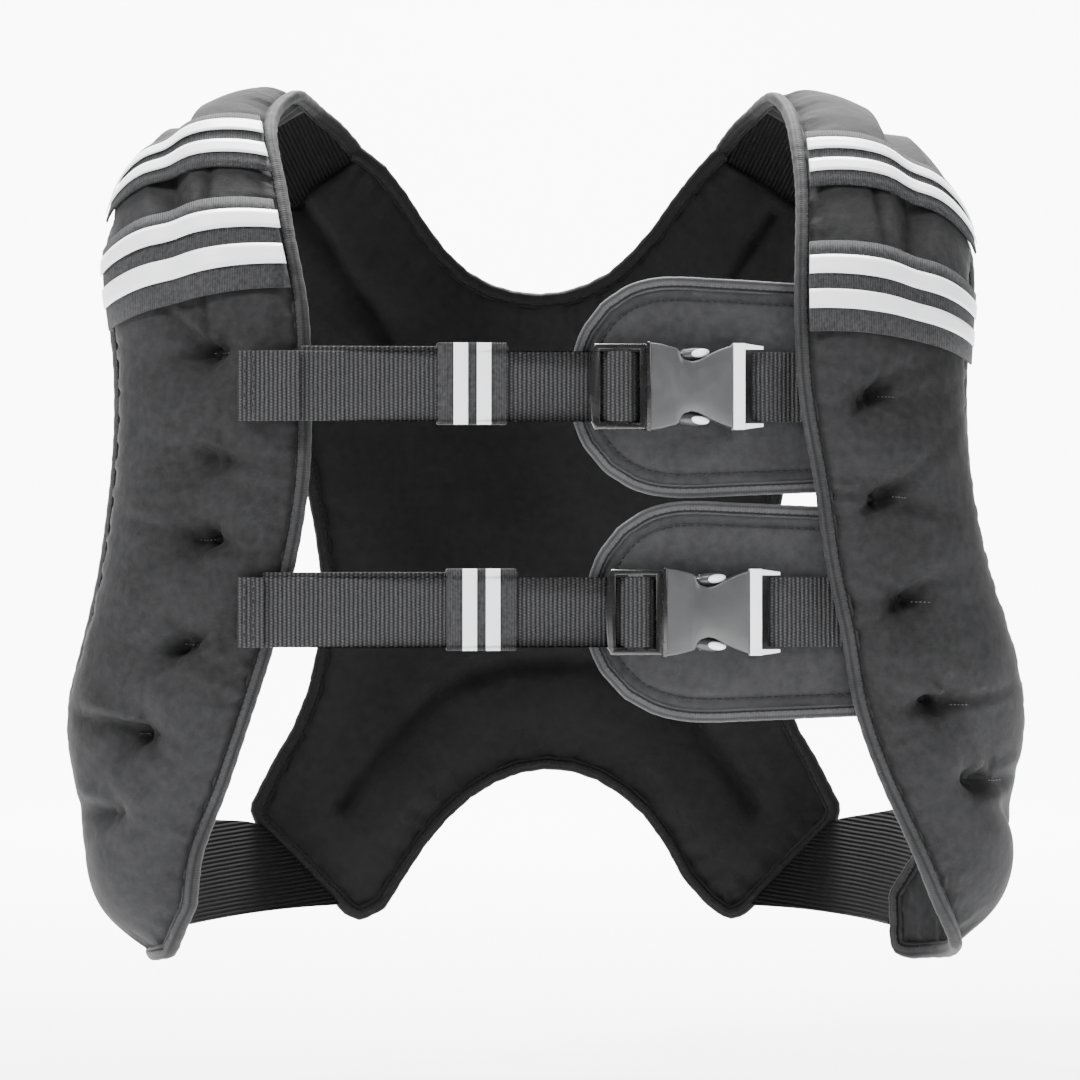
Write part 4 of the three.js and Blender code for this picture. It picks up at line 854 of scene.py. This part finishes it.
for side in ("left", "right"):
    makeElastic("shoulder", side)
    makeElastic("side", side)
print("elastics")


# ---- reflective bands
bandTuck = 0.0034


def alongBand(piece):
    places = points(piece)
    order = np.argsort(places[:, 0])
    bins = np.array_split(order, 24)
    middle = np.array([places[b].mean(axis=0) for b in bins])
    steps = np.concatenate([[0], np.cumsum(np.linalg.norm(np.diff(middle, axis=0), axis=1))])
    return np.interp(places[:, 0], middle[:, 0], steps)


def tuckIn(piece, side, tuck):
    # runs the inner end of a band on under the bound edge
    inward = 1 if side == "left" else -1
    places = points(piece)
    near = (places[:, 0] - (places[:, 0] * inward).max() * inward) * -inward
    places[:, 0] += inward * tuck * np.clip(1 - near / 0.015, 0, 1)
    movePoints(piece, places)


for side in ("left", "right"):
    for level in ("upper", "lower"):
        band = quadCopy(f"{side}_{level}_band", f"{side}_{level}_tape")
        subdivide(band, 2)
        tuckIn(band, side, bandTuck)
        addAttribute(band, "along", alongBand(band))
        smoothShade(band, 50)
        finish(band, f"{side}_{level}_band", tapeRib)
        for k in (1, 2):
            stripe = quadCopy(f"{side}_{level}_band_stripe_{k}", f"{side}_{level}_reflector_{k}")
            subdivide(stripe, 2)
            tuckIn(stripe, side, bandTuck)
            smoothShade(stripe, 50)
            finish(stripe, f"{side}_{level}_band_stripe_{k}", reflective)
print("bands")


# ---- chest straps
def makeStrapPiece(node, material, width=0.0005, name=None):
    piece = quadCopy(node, name or node.replace("strap", "webbing"))
    activate(piece)
    bpy.ops.object.mode_set(mode="EDIT")
    bpy.ops.mesh.select_all(action="SELECT")
    bpy.ops.mesh.dissolve_limited(angle_limit=math.radians(2))
    bpy.ops.object.mode_set(mode="OBJECT")
    roundEdges(piece, width, angle=10)
    smoothShade(piece, 40)
    if material is tapeRib:
        addAttribute(piece, "along", points(piece)[:, 0])
    finish(piece, node, material)
    return piece


for level in ("upper", "lower"):
    for part in ("strap_left", "strap_tab", "strap_tail", "strap_right"):
        makeStrapPiece(f"{level}_{part}", webbingWeave)
    makeStrapPiece(f"{level}_keeper", tapeRib, 0.0006, f"{level}_keeper_loop")
    for k in (1, 2):
        makeStrapPiece(f"{level}_keeper_stripe_{k}", reflective, 0.00012,
                       f"{level}_keeper_reflector_{k}")
print("straps")


# ---- padded flaps
flapPads = {"levels": 3, "stitchGap": 0.0031, "stitchIn": 0.0042,
            "pucker": {"radius": 0.0025, "step": 0.004, "seatFrom": 0.0085, "lowFrom": 0.0085, "lowBelow": -1,
                       "spread": 0.0, "seat": 0.0012}}


def stitchRow(name, line, surface, thickness, length, yarn, lift=0.0002):
    # short threads along a line, each laid on the surface under it
    vertices, faces = [], []
    for start, end in line:
        middle = (start + end) / 2
        place, normal, _, _ = surface.find_nearest(middle)
        ahead = (end - start).normalized()
        over = normal.cross(ahead).normalized()
        up = ahead.cross(over)
        base = len(vertices)
        for along, size in ((-0.5, 0.35), (-0.34, 1.0), (0.34, 1.0), (0.5, 0.35)):
            for j in range(6):
                angle = math.pi * j / 3
                ring = over * math.cos(angle) + up * math.sin(angle)
                vertices.append(place + up * lift + ahead * along * length + ring * thickness * size / 2)
        for ring in range(3):
            for j in range(6):
                a, b = base + ring * 6 + j, base + ring * 6 + (j + 1) % 6
                faces.append([a, b, b + 6, a + 6])
        faces.append([base + j for j in range(6)][::-1])
        faces.append([base + 18 + j for j in range(6)])
    piece = newPiece(name, vertices, faces)
    activate(piece)
    bpy.ops.object.mode_set(mode="EDIT")
    bpy.ops.mesh.select_all(action="SELECT")
    bpy.ops.mesh.normals_make_consistent(inside=False)
    bpy.ops.object.mode_set(mode="OBJECT")
    smoothShade(piece, 180)
    finish(piece, None, yarn)
    return piece


def dashes(path, gap, length):
    even = smoothPath(path, gap)
    return [(p, p + (q - p).normalized() * length) for p, q in zip(even, even[1:])]


for level in ("upper", "lower"):
    flap = quadCopy(f"{level}_flap", f"{level}_flap_pad")
    seatRim(flap, f"{level}_flap_binding", flapPads["pucker"])
    subdivide(flap, flapPads["levels"])
    flap.data.update()
    places, outward = points(flap), normals(flap)
    edge = distances(flap, [f"{level}_flap_binding"])
    room = distances(flap, [f"{level}_buckle_plug", f"{level}_buckle_socket", f"{level}_strap_right", f"{level}_strap_left"])
    sewn = np.exp(-((edge - flapPads["stitchIn"]) / 0.0013) ** 2)
    soft = 0.0006 * np.sin(places[:, 0] * 95 + 3 * np.sin(places[:, 2] * 60)) * np.clip(edge / 0.02, 0, 1)
    shift = np.minimum(soft - 0.0008 * sewn, np.maximum(room - 0.0005, 0))
    movePoints(flap, places + outward * shift[:, None])
    # painted shade along the sunk stitch line
    addAttribute(flap, "creaseShade", 0.5 * sewn)
    smoothShade(flap, 180)
    finish(flap, f"{level}_flap", flapCloth)
    _, path, inward = makeEdge(f"{level}_flap_binding", [f"{level}_flap"], flapTape, flapEdging)
    inset = flapTape["width"] + flapPads["stitchIn"]
    line = [p + v * inset for p, v in zip(path, inward)]
    surface = surfaceOf([flap.name])
    front = [surface.ray_cast(p + Vector((0, -0.05, 0)), Vector((0, 1, 0)))[0] for p in line]
    stitchRow(f"{level}_flap_stitches", dashes([p for p in front if p], flapPads["stitchGap"], 0.002),
              surface, 0.0009, 0.0022, thread)
print("flaps")


# ---- stitch bars at the tufts, and the sewn ends of the straps
tuftBar = {"count": 5, "gap": 0.0018, "length": 0.0012, "thickness": 0.0006}
for side, pad, tufts in (("left", leftPad, leftTufts), ("right", rightPad, rightTufts)):
    surface = surfaceOf([pad.name])
    line = []
    for centre, normal, strength in tufts:
        if strength < 0.6:
            continue
        over = Vector(normal).cross(Vector((0, 0, 1))).normalized()
        for k in range(tuftBar["count"]):
            offset = (k + 1.2) * tuftBar["gap"]
            spot = Vector(centre) - over * offset
            spot = surface.ray_cast(spot - Vector((0, 0.03, 0)), Vector((0, 1, 0)))[0]
            if spot:
                line.append((spot, spot - over * tuftBar["length"]))
    stitchRow(f"{side}_tuft_stitches", line, surface, tuftBar["thickness"], tuftBar["length"], paleThread)


# rows of thread that sew the folded end of each strap to the left panel
tabSeam = {"columns": (0.0035, 0.0068), "gap": 0.0026, "length": 0.0017, "thickness": 0.0007}
for level in ("upper", "lower"):
    cloth = bpy.data.objects[f"{level}_webbing_tab"]
    surface = surfaceOf([cloth.name])
    low, high = (Vector(corner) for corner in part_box(f"{level}_strap_tab"))
    line = []
    for column, offset in enumerate(tabSeam["columns"]):
        for k in range(int((high.z - low.z - 0.003) / tabSeam["gap"])):
            z = low.z + 0.002 + (k + 0.5 * column) * tabSeam["gap"]
            slant = 0.0006 * (-1) ** k
            spot = surface.ray_cast(Vector((low.x + offset, low.y - 0.05, z)), Vector((0, 1, 0)))[0]
            if spot:
                line.append((spot, spot + Vector((slant, 0, tabSeam["length"]))))
    stitchRow(f"{level}_tab_stitches", line, surface, tabSeam["thickness"], tabSeam["length"], thread)
print("stitches")


# ---- buckles: the moulded pieces are shaped from plain blocks and set on the lean of the strap
buckle = {
    # half heights along the socket, from its mouth, over the two notches, to the end bar
    "outline": [(0.0, 18.7), (0.8, 18.9), (6.0, 18.2), (12.0, 16.6), (13.6, 16.0), (14.3, 13.4), (16.0, 11.7),
                (19.3, 10.7), (22.0, 11.3), (24.7, 12.6), (27.4, 14.2), (32.0, 16.2), (37.2, 18.0)],
    "thickness": 9.6,
    "crown": 0.7,
    # a slight rim round the mouth of the socket, in the dark plastic, which paints the shade line where the plug goes
    # in
    "lip": ((-0.3, -5.3, -19.2), (1.5, 5.1, 19.2)),
    "bar": (37.2, 42.2, 18.6),
    "hook": (42.0, 50.2, 2.7),
    "tips": {"size": (7.2, 3.0, 2.8), "along": 19.6, "depth": 0.2, "height": 14.0, "lean": -6},
    # a near white lens on each prong tip: a painted highlight
    "shine": {"size": (4.2, 2.6, 1.9), "along": 23.0, "depth": -1.6, "height": 14.4, "lean": -8},
}


def leanOf(level):
    low, high = (Vector(corner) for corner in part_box(f"{level}_strap_tail"))
    slope = (high.y - low.y - 0.0016) / (high.x - low.x)
    return math.atan(slope)


def block(name, low, high):
    # a cube between two corners in millimetres, along the strap, in depth and in height
    bpy.ops.object.select_all(action="DESELECT")
    size = [(b - a) / 1000 for a, b in zip(low, high)]
    middle = [(a + b) / 2000 for a, b in zip(low, high)]
    bpy.ops.mesh.primitive_cube_add(size=1, location=middle)
    piece = bpy.context.object
    piece.name = name
    piece.data.name = name
    piece.scale = size
    bpy.ops.object.transform_apply(location=True, rotation=True, scale=True)
    return piece


def selectWhere(piece, test):
    bpy.ops.object.mode_set(mode="EDIT")
    bpy.ops.mesh.select_mode(type="VERT")
    bpy.ops.mesh.select_all(action="DESELECT")
    bpy.ops.object.mode_set(mode="OBJECT")
    for vertex in piece.data.vertices:
        vertex.select = test(vertex.co)
    bpy.ops.object.mode_set(mode="EDIT")


def makeSocketBody(name):
    outline = buckle["outline"]
    half = buckle["thickness"] / 2
    tallest = max(high for _, high in outline)
    piece = block(name, (outline[0][0], -half, -tallest), (outline[-1][0], half, tallest))
    bpy.ops.object.mode_set(mode="EDIT")
    for along, _ in outline[1:-1]:
        bpy.ops.mesh.select_all(action="SELECT")
        bpy.ops.mesh.bisect(plane_co=(along / 1000, 0, 0), plane_no=(1, 0, 0))
    for share in (-0.55, 0.0, 0.55):
        bpy.ops.mesh.select_all(action="SELECT")
        bpy.ops.mesh.bisect(plane_co=(0, 0, share * tallest / 1000), plane_no=(0, 0, 1))
    for along, high in outline:
        selectWhere(piece, lambda co: abs(co.x - along / 1000) < 1e-5)
        bpy.ops.transform.resize(value=(1, 1, high / tallest), center_override=(along / 1000, 0, 0))
    selectWhere(piece, lambda co: co.y < 0 and abs(co.z) < 0.009 and 0.004 < co.x < 0.035)
    bpy.ops.transform.translate(value=(0, -buckle["crown"] / 1000, 0))
    bpy.ops.object.mode_set(mode="OBJECT")
    roundEdges(piece, 0.0013, 4, 35)
    return piece


def makeSocketTrim(name):
    left, right, high = buckle["bar"]
    start, tip, thick = buckle["hook"]
    bar = block(name, (left, -5.4, -high), (right, 3.6, high))
    for side in (-1, 1):
        bpy.ops.object.mode_set(mode="OBJECT")
        outer, inner = side * high, side * (high - thick)
        hook = block("hook", (start - 1, -5.0, min(outer, inner)), (tip, 0.4, max(outer, inner)))
        selectWhere(hook, lambda co: co.x > (tip - 0.1) / 1000)
        bpy.ops.transform.resize(value=(1, 0.6, 0.5), center_override=(tip / 1000, -0.0035, side * (high - thick) / 1000))
        bpy.ops.object.mode_set(mode="OBJECT")
        bar.select_set(True)
        hook.select_set(True)
        bpy.context.view_layer.objects.active = bar
        applyUnion(bar, hook)
    roundEdges(bar, 0.0011, 4, 30)
    return bar


def makeProngTips(name, part):
    # what shows of the plug's two sprung prongs in the waist of the socket; the shine part is a near white lens of
    # painted highlight on them
    settings = buckle[part]
    piece = None
    for side in (-1, 1):
        bpy.ops.object.select_all(action="DESELECT")
        bpy.ops.mesh.primitive_uv_sphere_add(segments=32, ring_count=16, radius=1)
        tip = bpy.context.object
        tip.scale = [v / 1000 for v in settings["size"]]
        tip.location = [v / 1000 for v in (settings["along"], settings["depth"], side * settings["height"])]
        tip.rotation_euler = (0, side * math.radians(settings["lean"]), 0)
        bpy.ops.object.transform_apply(location=True, rotation=True, scale=True)
        if piece:
            tip.select_set(True)
            piece.select_set(True)
            bpy.context.view_layer.objects.active = piece
            bpy.ops.object.join()
        else:
            piece = tip
    piece.name = name
    return piece


def applyUnion(piece, other):
    activate(piece)
    modifier = piece.modifiers.new("join", "BOOLEAN")
    modifier.operation = "UNION"
    modifier.object = other
    bpy.ops.object.modifier_apply(modifier=modifier.name)
    bpy.data.objects.remove(other)


def setOnStrap(piece, level, x):
    # turns a piece built along X onto the strap, with its start at a distance from the centre line
    lean = leanOf(level)
    low, high = (Vector(corner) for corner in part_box(f"{level}_buckle_socket"))
    plugLow, plugHigh = (Vector(corner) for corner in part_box(f"{level}_buckle_plug"))
    middleZ = (plugLow.z + plugHigh.z) / 2
    socketMiddle = Vector(((low.x + high.x) / 2, (low.y + high.y) / 2, middleZ))
    turn = Matrix.Rotation(lean, 4, "Z")
    reach = socketMiddle.x - x
    start = socketMiddle - turn @ Vector((reach / math.cos(lean), 0, 0))
    piece.data.transform(Matrix.Translation(start) @ turn)
    piece.data.update()


def hardCopy(node, name, width=0.00035):
    piece = quadCopy(node, name)
    activate(piece)
    bpy.ops.object.mode_set(mode="EDIT")
    bpy.ops.mesh.select_all(action="SELECT")
    bpy.ops.mesh.dissolve_limited(angle_limit=math.radians(3))
    bpy.ops.object.mode_set(mode="OBJECT")
    roundEdges(piece, width, 3, 30)
    smoothShade(piece, 35)
    return piece


for level in ("upper", "lower"):
    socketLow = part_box(f"{level}_buckle_socket")[0]
    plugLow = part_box(f"{level}_buckle_plug")[0]
    body = makeSocketBody(f"{level}_socket_body")
    setOnStrap(body, level, socketLow[0])
    smoothShade(body, 35)
    finish(body, f"{level}_buckle_socket", bodyPlastic)
    # the end bar and its hooks are near white: a painted highlight
    trim = makeSocketTrim(f"{level}_socket_end")
    setOnStrap(trim, level, socketLow[0])
    smoothShade(trim, 35)
    finish(trim, None, highlightPlastic)
    # the lip's dark plastic paints the shade line at the mouth of the socket
    lip = block(f"{level}_socket_lip", *buckle["lip"])
    roundEdges(lip, 0.0005)
    setOnStrap(lip, level, socketLow[0])
    smoothShade(lip, 35)
    finish(lip, None, framePlastic)
    # the shine lenses are a painted highlight
    for part, material in (("tips", bodyPlastic), ("shine", highlightPlastic)):
        tips = makeProngTips(f"{level}_prong_{part}", part)
        setOnStrap(tips, level, socketLow[0])
        smoothShade(tips, 60)
        finish(tips, None, material)
    plug = hardCopy(f"{level}_buckle_plug", f"{level}_plug_frame", 0.0007)
    finish(plug, f"{level}_buckle_plug", framePlastic)
print("buckles")
